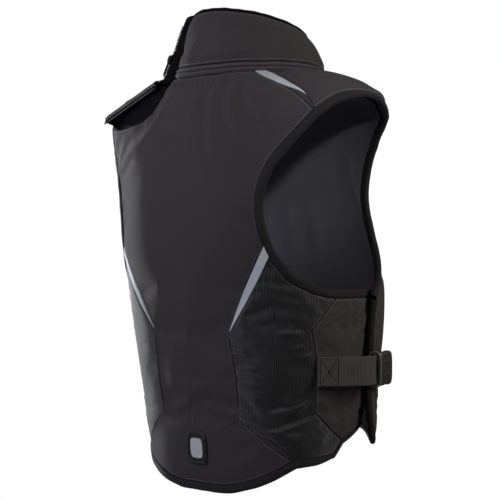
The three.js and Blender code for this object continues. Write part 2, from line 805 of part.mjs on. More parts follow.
// The body narrows where the side prongs are pressed
function buckleBody() {
  const { bodyLength, bodyHeight, bodyDepth, bevel, waist, corner } = BUCKLE;
  const half = bodyHeight / 2 - bevel;
  const far = -bodyLength + bevel;
  const outline = new THREE.Shape();
  outline.moveTo(-bevel, -half + corner);
  outline.lineTo(-bevel, half - corner);
  outline.quadraticCurveTo(-bevel, half, -bevel - corner, half);
  outline.quadraticCurveTo(far / 2, half - 2 * waist, far + corner, half - waist / 2);
  outline.quadraticCurveTo(far, half - waist / 2, far, half - waist / 2 - corner);
  outline.lineTo(far, -half + waist / 2 + corner);
  outline.quadraticCurveTo(far, -half + waist / 2, far + corner, -half + waist / 2);
  outline.quadraticCurveTo(far / 2, -half + 2 * waist, -bevel - corner, -half);
  outline.quadraticCurveTo(-bevel, -half, -bevel, -half + corner);
  const edge = { bevelThickness: bevel, bevelSize: bevel, bevelSegments: 1 };
  const options = { depth: bodyDepth, curveSegments: 5, ...edge };
  const geometry = new THREE.ExtrudeGeometry(outline, options);
  geometry.translate(0, 0, bevel);
  return geometry;
}

function strapGeometry(wingGeometry, frame) {
  const stops = [STRAP.seamY, 0, BUCKLE.jointY + SEAM_GAP];
  const places = trace(stops.map((y) => ({ y, z: STRAP.z })), STRAP.steps);
  const middle = frame.localToWorld(new THREE.Vector3(0, 0, (BUCKLE.loopDepth - STRAP.thick) / 2));
  const out = new THREE.Vector3(0, 0, 1).applyQuaternion(frame.quaternion);
  const heights = places.map((place) => {
    const point = formPoint(place);
    const sewn = highestOver(wingGeometry, place) + SEAM_GAP;
    const held = middle.clone().sub(point).dot(out) / out.dot(levelNormal(place));
    const lifted = THREE.MathUtils.smoothstep(-point.y, -STRAP.leaveY, -STRAP.liftedY);
    return THREE.MathUtils.lerp(sewn, held, lifted);
  });
  return webbingBand(places, heights, STRAP.thick);
}

function add(parent, name, geometry, material) {
  const mesh = new THREE.Mesh(geometry, material);
  mesh.name = name;
  parent.add(mesh);
}

const backGeometry = paddedPanel(backPanelPlaces(), SWELL.back);
const frontPlaces = frontPanelPlaces();
const frontGeometry = paddedPanel(frontPlaces, SWELL.front, frontLift);
const liningTop = -SHELL_WALL - SEAM_GAP;
const liningFoot = liningTop - LINING.wall;
const liningGeometry = plainWall(frontPlaces, LINING.margin, liningTop, liningFoot, frontLift);
const wingGeometry = paddedPanel(wingPlaces(), SWELL.wing);
const frame = buckleFrame(frontGeometry);
frame.updateMatrixWorld();

const vest = new THREE.Group();
add(vest, "back_panel", backGeometry, fabric);
add(vest, "front_panel", frontGeometry, fabric);
add(vest, "front_lining", liningGeometry, satin);
add(vest, "collar", collarGeometry(), fabric);
add(vest, "collar_zip_band", zipBandGeometry(), fabric);
add(vest, "collar_top_binding", collarTopBinding(), tape);
add(vest, "collar_closure", closureGeometry(), tape);
vest.add(sliderMesh());
add(vest, "back_hem_binding", backHemBinding(), tape);
add(vest, "front_edge_binding", frontEdgeBinding(), tape);
add(vest, "back_badge", badgeGeometry(backGeometry), rubber);

// Pieces that both sides have: built for the left, and mirrored for the right
const pairs = [
  { name: "side_panel", geometry: paddedPanel(sidePanelPlaces(), SWELL.side), material: ribbed },
  { name: "side_wing", geometry: wingGeometry, material: fabric },
  { name: "shoulder_yoke", geometry: paddedPanel(yokePlaces(), SWELL.yoke), material: fabric },
  { name: "armhole_binding", geometry: armholeBinding(), material: tape },
  { name: "side_strap", geometry: strapGeometry(wingGeometry, frame), material: webbing },
  { name: "front_tab", geometry: frontTabGeometry(frontGeometry), material: webbing },
];
const chestSeam = backSeam.slice(-chestSteps - 1);
const reflectorEdge = sideSeam.slice(-chestSteps - 1);
const wedges = [
  { name: "waist_reflector", places: wedgePlaces(chestSeam, reflectorEdge) },
  { name: "shoulder_reflector", places: wedgePlaces(yokeBackSeam, yokeBackEdge) },
];
for (const { name, places } of wedges) {
  pairs.push({ name, geometry: plainWall(places, SEAM_GAP / 2, 0.4, -SHELL_WALL), material: silver });
}
const buckle = [
  { name: "buckle_tongue", geometry: buckleLoop() },
  { name: "buckle_socket", geometry: buckleBody() },
];

for (const [side, direction] of [["left", 1], ["right", -1]]) {
  const half = new THREE.Group();
  half.scale.x = direction;
  for (const { name, geometry, material } of pairs) {
    add(half, `${name}_${side}`, geometry, material);
  }
  const held = frame.clone();
  for (const { name, geometry } of buckle) {
    add(held, `${name}_${side}`, geometry, plastic);
  }
  half.add(held);
  vest.add(half);
}

export default vest;
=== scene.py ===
import math

import bpy
import numpy as np
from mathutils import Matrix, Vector
from mathutils.bvhtree import BVHTree


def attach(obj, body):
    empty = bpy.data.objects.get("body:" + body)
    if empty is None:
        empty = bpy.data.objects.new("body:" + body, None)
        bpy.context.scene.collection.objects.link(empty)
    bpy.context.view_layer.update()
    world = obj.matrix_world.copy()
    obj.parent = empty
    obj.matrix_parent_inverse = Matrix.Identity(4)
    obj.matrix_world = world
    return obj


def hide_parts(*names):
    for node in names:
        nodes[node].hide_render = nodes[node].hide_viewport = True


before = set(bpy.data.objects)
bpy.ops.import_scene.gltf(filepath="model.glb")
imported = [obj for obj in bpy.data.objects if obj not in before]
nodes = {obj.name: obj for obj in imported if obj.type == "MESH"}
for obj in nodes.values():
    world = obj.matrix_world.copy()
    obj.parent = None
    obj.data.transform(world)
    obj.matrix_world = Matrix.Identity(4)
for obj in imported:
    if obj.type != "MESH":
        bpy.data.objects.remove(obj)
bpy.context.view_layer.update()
mm = 0.001

print("vest: frame loaded,", len(nodes), "pieces")

# Torso form at the seam lines, in millimetres, level by level
torso = dict(
    z=[-550, -500, -440, -390, -330, -280, -240, -200, -150, -110, -70, -42, -22, -7, 6, 14, 24],
    halfWidth=[151, 156, 164, 170, 177, 181, 185, 190, 198, 206, 219, 230, 224, 192, 146, 110, 84],
    back=[81, 83, 87, 94, 104, 114, 122, 128, 131, 129, 125, 119, 113, 106, 101, 95, 82],
    front=[-112, -115, -119, -122, -124, -123, -119, -114, -110, -108, -107, -107, -104, -99, -95, -90, -80],
    square=[2.6, 2.6, 2.6, 2.6, 2.6, 2.6, 2.6, 2.6, 2.55, 2.5, 2.4, 2.3, 2.2, 2.1, 2.05, 2.0, 2.0],
)
shoulderCoreZ = -60
frontLifts = [dict(start=110, end=262, height=12.5), dict(start=385, end=480, height=10)]


def smooth(value, low, high):
    t = np.clip((np.asarray(value, float) - low) / (high - low), 0, 1)
    return t * t * (3 - 2 * t)


def mix(a, b, t):
    return a + (b - a) * t


def unit(v):
    return v / np.maximum(np.linalg.norm(v, axis=-1, keepdims=True), 1e-9)


# A smooth column of the torso table that never overshoots its rows
def columnThrough(key):
    z = np.array(torso["z"], float)
    v = np.array(torso[key], float)
    rise = np.diff(v) / np.diff(z)
    before, after = rise[:-1], rise[1:]
    turning = before * after <= 0
    inner = np.where(turning, 0, 2 * before * after / np.where(turning, 1, before + after))
    slope = np.concatenate([rise[:1], inner, rise[-1:]])

    def at(level):
        level = np.asarray(level, float)
        i = np.clip(np.searchsorted(z, level) - 1, 0, len(z) - 2)
        span = z[i + 1] - z[i]
        t = np.clip((level - z[i]) / span, 0, 1)
        low = v[i] * (1 + 2 * t) + span * slope[i] * t
        high = v[i + 1] * (3 - 2 * t) - span * slope[i + 1] * (1 - t)
        return low * (1 - t) ** 2 + high * t ** 2

    return at


halfWidthAt, backAt, frontAt, squareAt = (columnThrough(k) for k in ("halfWidth", "back", "front", "square"))


def depthAt(z, y):
    return np.where(np.asarray(y) > 0, backAt(z), -frontAt(z))


# A place on the form is a turn from the spine and a height
def formPoint(turn, z):
    n = squareAt(z)
    across, along = np.sin(turn), np.cos(turn)
    reach = (np.abs(across) ** n + np.abs(along) ** n) ** (-1 / n)
    return np.stack([halfWidthAt(z) * reach * across, depthAt(z, along) * reach * along, z + 0 * turn], -1)


def formNormal(turn, z, turnStep=0.02, zStep=1):
    around = formPoint(turn + turnStep, z) - formPoint(turn - turnStep, z)
    rise = formPoint(turn, z + zStep) - formPoint(turn, z - zStep)
    return unit(np.cross(rise, around))


def isInside(p):
    n = squareAt(p[..., 2])
    across = np.abs(p[..., 0]) / halfWidthAt(p[..., 2])
    along = np.abs(p[..., 1]) / depthAt(p[..., 2], p[..., 1])
    return across ** n + along ** n < 1


def placeAt(p):
    x, y, z = p[..., 0], p[..., 1], p[..., 2]
    return np.arctan2(x / halfWidthAt(z), y / depthAt(z, y)), z


# Pushes points out to the form from the spine's axis or from between the shoulders
def toForm(p, least=0.2, most=3.0, halvings=32):
    p = np.asarray(p, float)
    core = np.zeros_like(p)
    core[..., 2] = np.minimum(p[..., 2], shoulderCoreZ)
    low, high = np.full(p.shape[:-1], least), np.full(p.shape[:-1], most)
    for _ in range(halvings):
        middle = (low + high) / 2
        inside = isInside(core + (p - core) * middle[..., None])
        low, high = np.where(inside, middle, low), np.where(inside, high, middle)
    return core + (p - core) * ((low + high) / 2)[..., None]


# Seam rows are read from behind (x, z), from in front where they say so, from the side (y, z) or above (x, y)
def rowPoint(row, lowest=-40.0, halvings=40):
    x, y, z = row.get("x"), row.get("y"), row.get("z")
    if z is None:
        low, high = lowest, float(torso["z"][-1])
        for _ in range(halvings):
            middle = (low + high) / 2
            low, high = (middle, high) if isInside(np.array([x, y, middle], float)) else (low, middle)
        return [x, y, (low + high) / 2]
    n = squareAt(z)
    if x is not None:
        depth = frontAt(z) if row.get("front") else backAt(z)
        return [x, depth * (1 - (x / halfWidthAt(z)) ** n) ** (1 / n), z]
    return [halfWidthAt(z) * (1 - (abs(y) / depthAt(z, y)) ** n) ** (1 / n), y, z]


# A smooth curve through points, cut into even steps
def curveThrough(points, steps, closed=False, samples=60):
    p = np.asarray(points, float)
    ends = (p[-1:], p[:2]) if closed else (2 * p[:1] - p[1:2], 2 * p[-1:] - p[-2:-1])
    p = np.vstack([ends[0], p, ends[1]])
    s = np.linspace(0, 1, samples, endpoint=False)[:, None]
    out = []
    for a, b, c, d in zip(p[:-3], p[1:-2], p[2:-1], p[3:]):
        before, span, after = (max(np.sum((v - u) ** 2) ** 0.25, 1e-4) for u, v in ((a, b), (b, c), (c, d)))
        start = span * ((b - a) / before - (c - a) / (before + span) + (c - b) / span)
        end = span * ((c - b) / span - (d - b) / (span + after) + (d - c) / after)
        bend = 2 * b - 2 * c + start + end
        out.append(b + start * s + (3 * c - 3 * b - 2 * start - end) * s ** 2 + bend * s ** 3)
    out.append(p[-2][None] if not closed else p[1][None])
    return evenly(np.vstack(out), steps)


def lengthsAlong(points):
    return np.concatenate([[0], np.cumsum(np.linalg.norm(np.diff(points, axis=0), axis=1))])


# Points of a run at stops along a measure of it
def readAt(stops, measure, run):
    return np.stack([np.interp(stops, measure, run[:, k]) for k in range(3)], -1)


def evenly(points, steps):
    far = lengthsAlong(points)
    return readAt(np.linspace(0, far[-1], steps + 1), far, points)


fineness = 3     # steps of the cloth grid to each step of the solid underneath


def trace(rows, steps):
    return toForm(curveThrough([rowPoint(r) for r in rows], steps * fineness))


def join(*runs):
    return np.vstack([runs[0]] + [r[1:] for r in runs[1:]])


halves = dict(left=np.array([1, 1, 1]), right=np.array([-1, 1, 1]))


def mirrored(run):
    return run * halves["right"]


def bothHalves(run):
    return join(mirrored(run)[::-1], run)


def backRow(*pairs):
    return [dict(x=x, z=z) for x, z in pairs]


def frontRow(*pairs):
    return [dict(x=x, z=z, front=True) for x, z in pairs]


def sideRow(*pairs):
    return [dict(y=y, z=z) for y, z in pairs]


def topRow(*pairs):
    return [dict(x=x, y=y) for x, y in pairs]


# Seams of the wearer's left half
chestSteps, yokeSteps = 5, 5
seamBelowChest = join(
    trace(backRow((140, -490), (115, -469), (73, -437)), 3),
    trace(backRow((73, -437), (76, -387), (72, -328)), 4),
)
chestSeam = trace(backRow((72, -328), (98, -283), (117, -251)) + sideRow((101, -214)), chestSteps)
reflectorEdge = trace(backRow((72, -328), (123, -260)) + sideRow((96, -227)), chestSteps)
backSeam = join(seamBelowChest, chestSeam)
sideSeam = join(seamBelowChest, reflectorEdge)
wingSeam = join(
    trace(sideRow((-19, -466), (11, -446), (32, -427)), 3),
    trace(sideRow((32, -427), (35, -392), (39, -356), (47, -320)), 5),
    trace(sideRow((47, -320), (32, -301), (14, -280)), 4),
)
wingFront = trace(sideRow((-100, -441), (-100, -284)), 12)
armholeUnder = trace(sideRow((96, -227), (77, -256), (59, -268), (38, -276), (14, -280)), 6)
armholeBack = trace(sideRow((101, -214), (108, -184), (110, -147), (103, -108), (94, -86), (71, -43)), 8)
armholeCap = trace(sideRow((71, -43), (44, -24), (0, -17), (-42, -29), (-64, -49)), 8)
armholeFront = trace(sideRow((-54, -283), (-75, -252), (-90, -205), (-92, -150), (-80, -80), (-64, -49)), 8)
wingTop = trace(sideRow((14, -280), (-15, -280), (-58, -280), (-100, -284)), 6)
wingHem = trace(sideRow((-19, -466), (-50, -454), (-78, -445), (-100, -441)), 6)
backHem = trace(backRow((0, -529), (44, -528), (75, -522), (104, -512), (140, -490)), 9)
sideHem = join(
    trace(backRow((140, -490)) + sideRow((26, -487), (-5, -483)), 4),
    trace(sideRow((-5, -483), (-19, -466)), 2),
)
frontSide = trace(sideRow((-64, -461), (-58, -425), (-56, -385), (-52, -343), (-52, -312), (-54, -283)), 6)
frontHem = trace(frontRow((0, -440), (60, -444), (112, -456)) + sideRow((-84, -467), (-64, -461)), 9)
neckBack = trace(backRow((0, 10.5), (42, 11.5), (84, 13.3)), 4)
neckSide = trace(backRow((94, 14)) + sideRow((0, 15)) + frontRow((92, 13)), 8)
neckFront = trace(frontRow((92, 13), (68, 1), (34, -13), (12, -16), (0, -16.5)), 4)
yokeBackSeam = trace(
    sideRow((71, -43)) + topRow((164, 77), (133, 75), (110, 72)) + backRow((84, 13.3)),
    yokeSteps,
)
yokeBackEdge = trace(sideRow((71, -43)) + topRow((168, 69), (137, 62)) + backRow((94, 14)), yokeSteps)
yokeFrontSeam = trace(sideRow((-64, -49)) + topRow((168, -62), (126, -58)) + frontRow((92, 13)), yokeSteps)

print("vest: seams traced")


# A grid of points on the form between four runs
def patch(bottom, top, left, right):
    v = np.linspace(0, 1, len(left))[:, None, None]
    u = np.linspace(0, 1, len(bottom))[None, :, None]
    ruled = mix(left[:, None], right[:, None], u) + mix(bottom[None], top[None], v)
    corners = mix(mix(bottom[0], bottom[-1], u), mix(top[0], top[-1], u), v)
    return toForm(ruled - corners)


# Evens out the inside of a grid of points or heights
def evened(grid, rounds):
    for _ in range(rounds):
        grid[1:-1, 1:-1] = (grid[:-2, 1:-1] + grid[2:, 1:-1] + grid[1:-1, :-2] + grid[1:-1, 2:]) / 4
    return grid


def gridLengths(grid):
    across = np.zeros(grid.shape[:2])
    along = np.zeros(grid.shape[:2])
    across[:, 1:] = np.cumsum(np.linalg.norm(np.diff(grid, axis=1), axis=2), 1)
    along[1:] = np.cumsum(np.linalg.norm(np.diff(grid, axis=0), axis=2), 0)
    return across, along


def seamDistance(grid):
    across, along = gridLengths(grid)
    side = np.minimum(across, across[:, -1:] - across)
    end = np.minimum(along, along[-1:] - along)
    return np.minimum(side, end)


# Straight distance of each point to the rim of its grid
def rimDistance(grid, cuts=6):
    rim = np.vstack([grid[0], grid[1:, -1], grid[-1, -2::-1], grid[-2:0:-1, 0]])
    rim = evenly(np.vstack([rim, rim[:1]]), cuts * len(rim))
    return np.stack([np.linalg.norm(row[:, None] - rim[None], axis=2).min(1) for row in grid])


def gridQuads(rows, columns):
    index = np.arange(rows * columns).reshape(rows, columns)
    corners = (index[:-1, :-1], index[:-1, 1:], index[1:, 1:], index[1:, :-1])
    return np.stack(corners, -1).reshape(-1, 4)


def gridNormals(grid):
    return unit(np.cross(np.gradient(grid, axis=0), np.gradient(grid, axis=1)))


# Normals that lead away from a spot below the middle of the grid
def outwardNormals(grid, below=60):
    normal = gridNormals(grid)
    away = grid - np.array([0, 0, grid[..., 2].mean() - below])
    return normal if np.mean(np.sum(normal * away, -1)) > 0 else -normal


# Weights that put new rows on a smooth curve between old ones
def cubicRows(count, share):
    t = np.arange((count - 1) * share + 1) / share
    i = np.clip(t.astype(int), 0, count - 2)
    f = t - i
    weights = np.zeros((len(t), count + 2))
    basis = ((-f + 2 * f ** 2 - f ** 3) / 2, (2 - 5 * f ** 2 + 3 * f ** 3) / 2,
             (f + 4 * f ** 2 - 3 * f ** 3) / 2, (f ** 3 - f ** 2) / 2)
    for step, part in enumerate(basis):
        weights[np.arange(len(t)), i + step] = part
    ends = np.zeros((count + 2, count))
    ends[1:-1] = np.eye(count)
    ends[0, :2] = (2, -1)
    ends[-1, -2:] = (-1, 2)
    return weights @ ends


def finer(grid, share=2):
    flat = grid.reshape(grid.shape[0], grid.shape[1], -1)
    tall = np.einsum("ri,ijk->rjk", cubicRows(grid.shape[0], share), flat)
    wide = np.einsum("cj,rjk->rck", cubicRows(grid.shape[1], share), tall)
    return wide.reshape(wide.shape[:2] + grid.shape[2:])


# Extra lines close to the rim of a grid, so that a seam rolls over crisply; rimRoom keeps them inside a cell
rimLines = (0.5, 1.1, 1.9, 2.9)
rimRoom = 1.3


def withRim(grid):
    for axis in (0, 1):
        g = np.moveaxis(grid, axis, 0)
        ends = []
        for near, far in ((g[0], g[1]), (g[-1], g[-2])):
            span = np.linalg.norm((far - near)[..., :3], axis=-1, keepdims=True)
            ends.append([mix(near, far, d / np.maximum(span, rimRoom * rimLines[-1])) for d in rimLines])
        g = np.concatenate([g[:1], ends[0], g[1:-1], ends[1][::-1], g[-1:]])
        grid = np.moveaxis(g, 0, axis)
    return grid


# Both faces of a wall with extra lines at the rim, the outer one rolled down to the seam
def rolledWall(outer, inner, depth=2.2, reach=3.4):
    both = withRim(np.concatenate([outer, inner], -1))
    outer, inner = both[..., :3], both[..., 3:]
    edge = np.clip(seamDistance(outer) / reach, 0, 1)
    across = unit(outer - inner)
    return outer + across * (depth * (np.sqrt(1 - (1 - edge) ** 2) - 1))[..., None], inner


# Soft uneven rise of cloth: a few slow waves with fixed directions
def ripple(points, size, seed, waves=9):
    draw = np.random.default_rng(seed)
    total = np.zeros(points.shape[:-1])
    for _ in range(waves):
        way = unit(draw.normal(size=3)) * draw.uniform(0.6, 1.7) * 2 * math.pi / size
        total += np.sin(points @ way + draw.uniform(0, 2 * math.pi))
    return total / waves ** 0.5


# Points round a square with soft corners, as two rows about the middle
def squircle(count, power):
    angle = np.linspace(0, 2 * math.pi, count, endpoint=False)
    c, s = np.cos(angle), np.sin(angle)
    reach = (np.abs(c) ** power + np.abs(s) ** power) ** (-1 / power)
    return c * reach, s * reach


# A fold runs between two spots of a view and has a furrow beside its ridge
furrow = dict(depth=0.55, beside=1.7)
foldEnds = dict(first=(-0.05, 0.3), last=(0.6, 1.08))


def foldHeight(points, folds, axes):
    flat = points[..., axes]
    total = np.zeros(points.shape[:-1])
    for fold in folds:
        a, b = np.array(fold["a"], float), np.array(fold["b"], float)
        way = (b - a) / np.linalg.norm(b - a)
        t = (flat - a) @ way / np.linalg.norm(b - a)
        bow = fold.get("bow", 0) * np.sin(math.pi * np.clip(t, 0, 1))
        off = ((flat - a) @ np.array([-way[1], way[0]]) + bow) / fold["width"]
        taper = smooth(t, *foldEnds["first"]) * (1 - smooth(t, *foldEnds["last"]))
        ridge = np.exp(-off ** 2) - furrow["depth"] * np.exp(-(off - furrow["beside"]) ** 2)
        total += fold["height"] * taper * ridge
    return total


# Folds and their twins across the middle, whose bow is turned by -1 or kept by 1
def twinned(folds, bend):
    twins = []
    for f in folds:
        (ax, az), (bx, bz) = f["a"], f["b"]
        twins.append(dict(f, a=(-ax, az), b=(-bx, bz), bow=bend * f.get("bow", 0)))
    return folds + twins


# Short gathers side by side below a seam, in three lengths by turns
def gathered(first, step, count, top, long, more, width, height, spread=1.0, lean=0.0):
    rows = []
    for k in range(count):
        x = first + step * k
        foot = (x * spread + lean, top - long - more * (k % 3))
        rows.append(dict(a=(x, top), b=foot, width=width, height=height))
    return rows


# Cloth settled by simulation: held at its rim, cut a little large and blown out softly
def settle(grid, held, look, steps=18):
    rows, columns = grid.shape[:2]
    mesh = bpy.data.meshes.new("settling")
    quads = gridQuads(rows, columns)
    middle = grid[rows // 2, columns // 2]
    outward = gridNormals(grid)[rows // 2, columns // 2] @ np.array([middle[0], middle[1], 0])
    faces = quads if outward < 0 else quads[:, ::-1]
    mesh.from_pydata((grid.reshape(-1, 3) * mm).tolist(), [], faces.tolist())
    cloth = bpy.data.objects.new("settling", mesh)
    scene = bpy.context.scene
    scene.collection.objects.link(cloth)
    pins = cloth.vertex_groups.new(name="held")
    pins.add(np.flatnonzero(held).tolist(), 1.0, "REPLACE")
    settings = cloth.modifiers.new("cloth", "CLOTH").settings
    fabric = dict(
        vertex_group_mass="held", quality=5, mass=0.2, tension_stiffness=25, compression_stiffness=25,
        shear_stiffness=8, bending_stiffness=0.6, pin_stiffness=1, shrink_min=-look["growth"],
        use_pressure=True, uniform_pressure_force=look["pressure"],
    )
    for key, value in fabric.items():
        setattr(settings, key, value)
    settings.effector_weights.gravity = 0
    for step in range(1, steps + 1):
        scene.frame_set(step)
    shape = cloth.evaluated_get(bpy.context.evaluated_depsgraph_get()).data
    moved = np.zeros(rows * columns * 3)
    shape.vertices.foreach_get("co", moved)
    bpy.data.objects.remove(cloth)
    scene.frame_set(1)
    shift = moved.reshape(grid.shape) / mm - grid
    far = np.linalg.norm(shift, axis=2, keepdims=True)
    return grid + shift * np.minimum(1, look["cap"] / np.maximum(far, 1e-6))


# Meshes

noSeam = 20.0     # so far from a seam its shade is gone


def makeObject(name, points, faces, materials, uv, seam=noSeam, slots=None, sharp=0.9):
    mesh = bpy.data.meshes.new(name)
    mesh.from_pydata((np.asarray(points) * mm).tolist(), [], faces)
    for material in materials:
        mesh.materials.append(material)
    if slots is not None:
        mesh.polygons.foreach_set("material_index", np.asarray(slots, np.int32))
    corner = np.zeros(len(mesh.loops), np.int32)
    mesh.loops.foreach_get("vertex_index", corner)
    layer = mesh.uv_layers.new(name="UVMap")
    layer.data.foreach_set("uv", (np.asarray(uv) * mm)[corner].astype(np.float32).reshape(-1))
    near = np.broadcast_to(np.asarray(seam) * mm, len(points)).astype(np.float32)
    mesh.attributes.new("seam", "FLOAT", "POINT").data.foreach_set("value", near)
    mesh.polygons.foreach_set("use_smooth", np.ones(len(mesh.polygons), bool))
    mesh.set_sharp_from_angle(angle=sharp)
    mesh.update()
    piece = bpy.data.objects.new(name, mesh)
    bpy.context.scene.collection.objects.link(piece)
    return piece


def signedVolume(points, quads):
    a, b, c, d = (points[quads[:, k]] for k in range(4))
    return np.sum(np.einsum("ij,ij->i", a, np.cross(b, c) + np.cross(c, d)))


# A closed wall between an outer and an inner grid; the inner face takes the second material
def wallPiece(name, outer, inner, materials, uv=None, seam=None):
    rows, columns = outer.shape[:2]
    count = rows * columns
    face = gridQuads(rows, columns)
    back = face[:, [0, 3, 2, 1]] + count
    index = np.arange(count).reshape(rows, columns)
    loop = np.concatenate([index[0, :-1], index[:-1, -1], index[-1, :0:-1], index[:0:-1, 0]])
    ahead = np.roll(loop, -1)
    rim = np.stack([ahead, loop, loop + count, ahead + count], 1)
    quads = np.vstack([face, rim, back])
    points = np.vstack([outer.reshape(-1, 3), inner.reshape(-1, 3)])
    if signedVolume(points, quads) < 0:
        quads = quads[:, ::-1]
    slots = np.concatenate([np.zeros(len(face) + len(rim)), np.ones(len(back))])
    uv = np.stack(gridLengths(outer), -1) if uv is None else uv
    seam = seamDistance(outer) if seam is None else np.broadcast_to(seam, outer.shape[:2])
    bothUv = np.vstack([uv.reshape(-1, 2)] * 2)
    bothSeams = np.concatenate([seam.reshape(-1)] * 2)
    return makeObject(name, points, quads.tolist(), materials, bothUv, bothSeams, slots)


# Points and faces of a solid swept through rings, closed at its ends or all the way round
def sweepFaces(rings, closed=False):
    count, sides = rings.shape[:2]
    index = np.arange(count * sides).reshape(count, sides)
    near = index if closed else index[:-1]
    ahead = np.roll(index, -1, 0) if closed else index[1:]
    turned, aheadTurned = np.roll(near, -1, 1), np.roll(ahead, -1, 1)
    quads = np.stack([near, turned, aheadTurned, ahead], -1).reshape(-1, 4)
    points = rings.reshape(-1, 3)
    flip = signedVolume(points, quads) < 0
    faces = (quads[:, ::-1] if flip else quads).tolist()
    if not closed:
        first, last = index[0].tolist(), index[-1].tolist()
        faces += [first if flip else first[::-1], last[::-1] if flip else last]
    return points, faces


def sweptPiece(name, rings, materials, seam=noSeam, sharp=0.9):
    rings = np.asarray(rings)
    points, faces = sweepFaces(rings)
    sides = rings.shape[1]
    along = lengthsAlong(rings.mean(1))
    around = np.cumsum(np.linalg.norm(np.diff(rings[:, np.arange(-1, sides)], axis=1), axis=2), 1)
    uv = np.stack([np.repeat(along, sides), around.reshape(-1)], 1)
    seams = np.broadcast_to(seam, rings.shape[:2]).reshape(-1)
    return makeObject(name, points, faces, materials, uv, seams, sharp=sharp)


def joined(name, parts, materials, slots=None, sharp=0.9):
    points, faces, offset = [], [], 0
    for partPoints, partFaces in parts:
        points.append(partPoints)
        faces += [[i + offset for i in face] for face in partFaces]
        offset += len(partPoints)
    points = np.vstack(points)
    return makeObject(name, points, faces, materials, points[:, :2], slots=slots, sharp=sharp)


def dress(piece, slot, *replaced):
    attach(piece, "root")
    if replaced:
        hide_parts(*replaced)


# Shader groups


def newGroup(name, inputs, outputs):
    group = bpy.data.node_groups.new(name, "ShaderNodeTree")
    for label, value in inputs.items():
        socket = group.interface.new_socket(name=label, in_out="INPUT", socket_type="NodeSocketFloat")
        socket.default_value = value
    for label in outputs:
        group.interface.new_socket(name=label, in_out="OUTPUT", socket_type="NodeSocketFloat")
    s = Shading(group)
    return group, s, s.node("NodeGroupInput").outputs, s.node("NodeGroupOutput").inputs


# A small helper that adds and links nodes of one tree
class Shading:
    def __init__(self, tree):
        self.tree = tree

    def node(self, kind, **settings):
        made = self.tree.nodes.new(kind)
        for key, value in settings.items():
            setattr(made, key, value)
        return made

    def feed(self, socket, value):
        if isinstance(value, bpy.types.NodeSocket):
            self.tree.links.new(value, socket)
        else:
            socket.default_value = value

    def math(self, operation, *values):
        made = self.node("ShaderNodeMath", operation=operation)
        for socket, value in zip(made.inputs, values):
            self.feed(socket, value)
        return made.outputs[0]

    def remap(self, value, low, high, toLow, toHigh):
        made = self.node("ShaderNodeMapRange", interpolation_type="SMOOTHSTEP")
        for socket, v in zip(made.inputs, (value, low, high, toLow, toHigh)):
            self.feed(socket, v)
        return made.outputs[0]

    def noise(self, vector, scale, detail=3.0, rough=0.55):
        made = self.node("ShaderNodeTexNoise")
        self.feed(made.inputs["Vector"], vector)
        for key, value in (("Scale", scale), ("Detail", detail), ("Roughness", rough)):
            self.feed(made.inputs[key], value)
        return made.outputs[0]

    def uv(self):
        split = self.node("ShaderNodeSeparateXYZ")
        self.tree.links.new(self.node("ShaderNodeUVMap").outputs[0], split.inputs[0])
        return split.outputs[0], split.outputs[1]

    def place(self):
        return self.node("ShaderNodeTexCoord").outputs["Object"]


# Plain weave: threads over and under, with uneven yarn; the tone follows the height, darker where the weave
# sinks, as painted shade
def weaveGroup():
    group, s, inlet, outlet = newGroup("cloth weave", {"Threads": 900.0, "Uneven": 0.4}, ["Height", "Tone"])
    u, v = s.uv()
    turn = s.math("MULTIPLY", inlet["Threads"], 2 * math.pi)
    warp = s.math("SINE", s.math("MULTIPLY", u, turn))
    weft = s.math("SINE", s.math("MULTIPLY", v, turn))
    cross = s.math("MULTIPLY", warp, weft)
    yarn = s.noise(s.place(), s.math("MULTIPLY", inlet["Threads"], 0.6), 2.0)
    wavy = s.math("MULTIPLY", s.math("SUBTRACT", yarn, 0.5), inlet["Uneven"])
    height = s.math("ADD", s.math("MULTIPLY", cross, 0.5), wavy)
    s.feed(outlet["Height"], height)
    s.feed(outlet["Tone"], s.math("ADD", s.math("MULTIPLY", height, 0.16), 1.0))
    return group


# Slow patches of lighter and darker dye and rubbed cloth
def toneGroup():
    group, s, inlet, outlet = newGroup("cloth tone", {"Scale": 9.0, "Amount": 0.2}, ["Tone", "Rub"])
    slow = s.noise(s.place(), inlet["Scale"], 4.0)
    quick = s.noise(s.place(), s.math("MULTIPLY", inlet["Scale"], 16.0), 3.0)
    both = s.math("ADD", s.math("MULTIPLY", slow, 0.7), s.math("MULTIPLY", quick, 0.3))
    swing = s.math("MULTIPLY", s.math("SUBTRACT", both, 0.5), inlet["Amount"])
    s.feed(outlet["Tone"], s.math("MULTIPLY_ADD", swing, 2.0, 1.0))
    s.feed(outlet["Rub"], quick)
    return group


# Fine ribs along the cloth; their tone is painted shade in the valleys and painted highlight on the crests
def ribGroup():
    group, s, inlet, outlet = newGroup("ribs", {"Pitch": 0.0027}, ["Height", "Tone"])
    wave = s.math("SINE", s.math("MULTIPLY", s.math("DIVIDE", s.uv()[0], inlet["Pitch"]), 2 * math.pi))
    ridge = s.math("MULTIPLY_ADD", wave, 0.5, 0.5)
    s.feed(outlet["Height"], ridge)
    s.feed(outlet["Tone"], s.math("MULTIPLY_ADD", ridge, 1.3, 0.3))
    return group


# Painted shade: darkening in the seam groove, where the shadow between panels falls
def seamGroup():
    group, s, inlet, outlet = newGroup("painted seam shade", {"Reach": 0.0025, "Depth": 0.96}, ["Shade"])
    spot = s.node("ShaderNodeAttribute", attribute_name="seam").outputs["Fac"]
    dark = s.remap(spot, 0.0, inlet["Reach"], 1.0, 0.0)
    s.feed(outlet["Shade"], s.math("SUBTRACT", 1.0, s.math("MULTIPLY", dark, inlet["Depth"])))
    return group


groups = dict(weave=weaveGroup(), tone=toneGroup(), ribs=ribGroup(), seam=seamGroup())


def newMaterial(name):
    material = bpy.data.materials.new(name)
    material.use_nodes = True
    shading = Shading(material.node_tree)
    return material, shading, material.node_tree.nodes["Principled BSDF"]


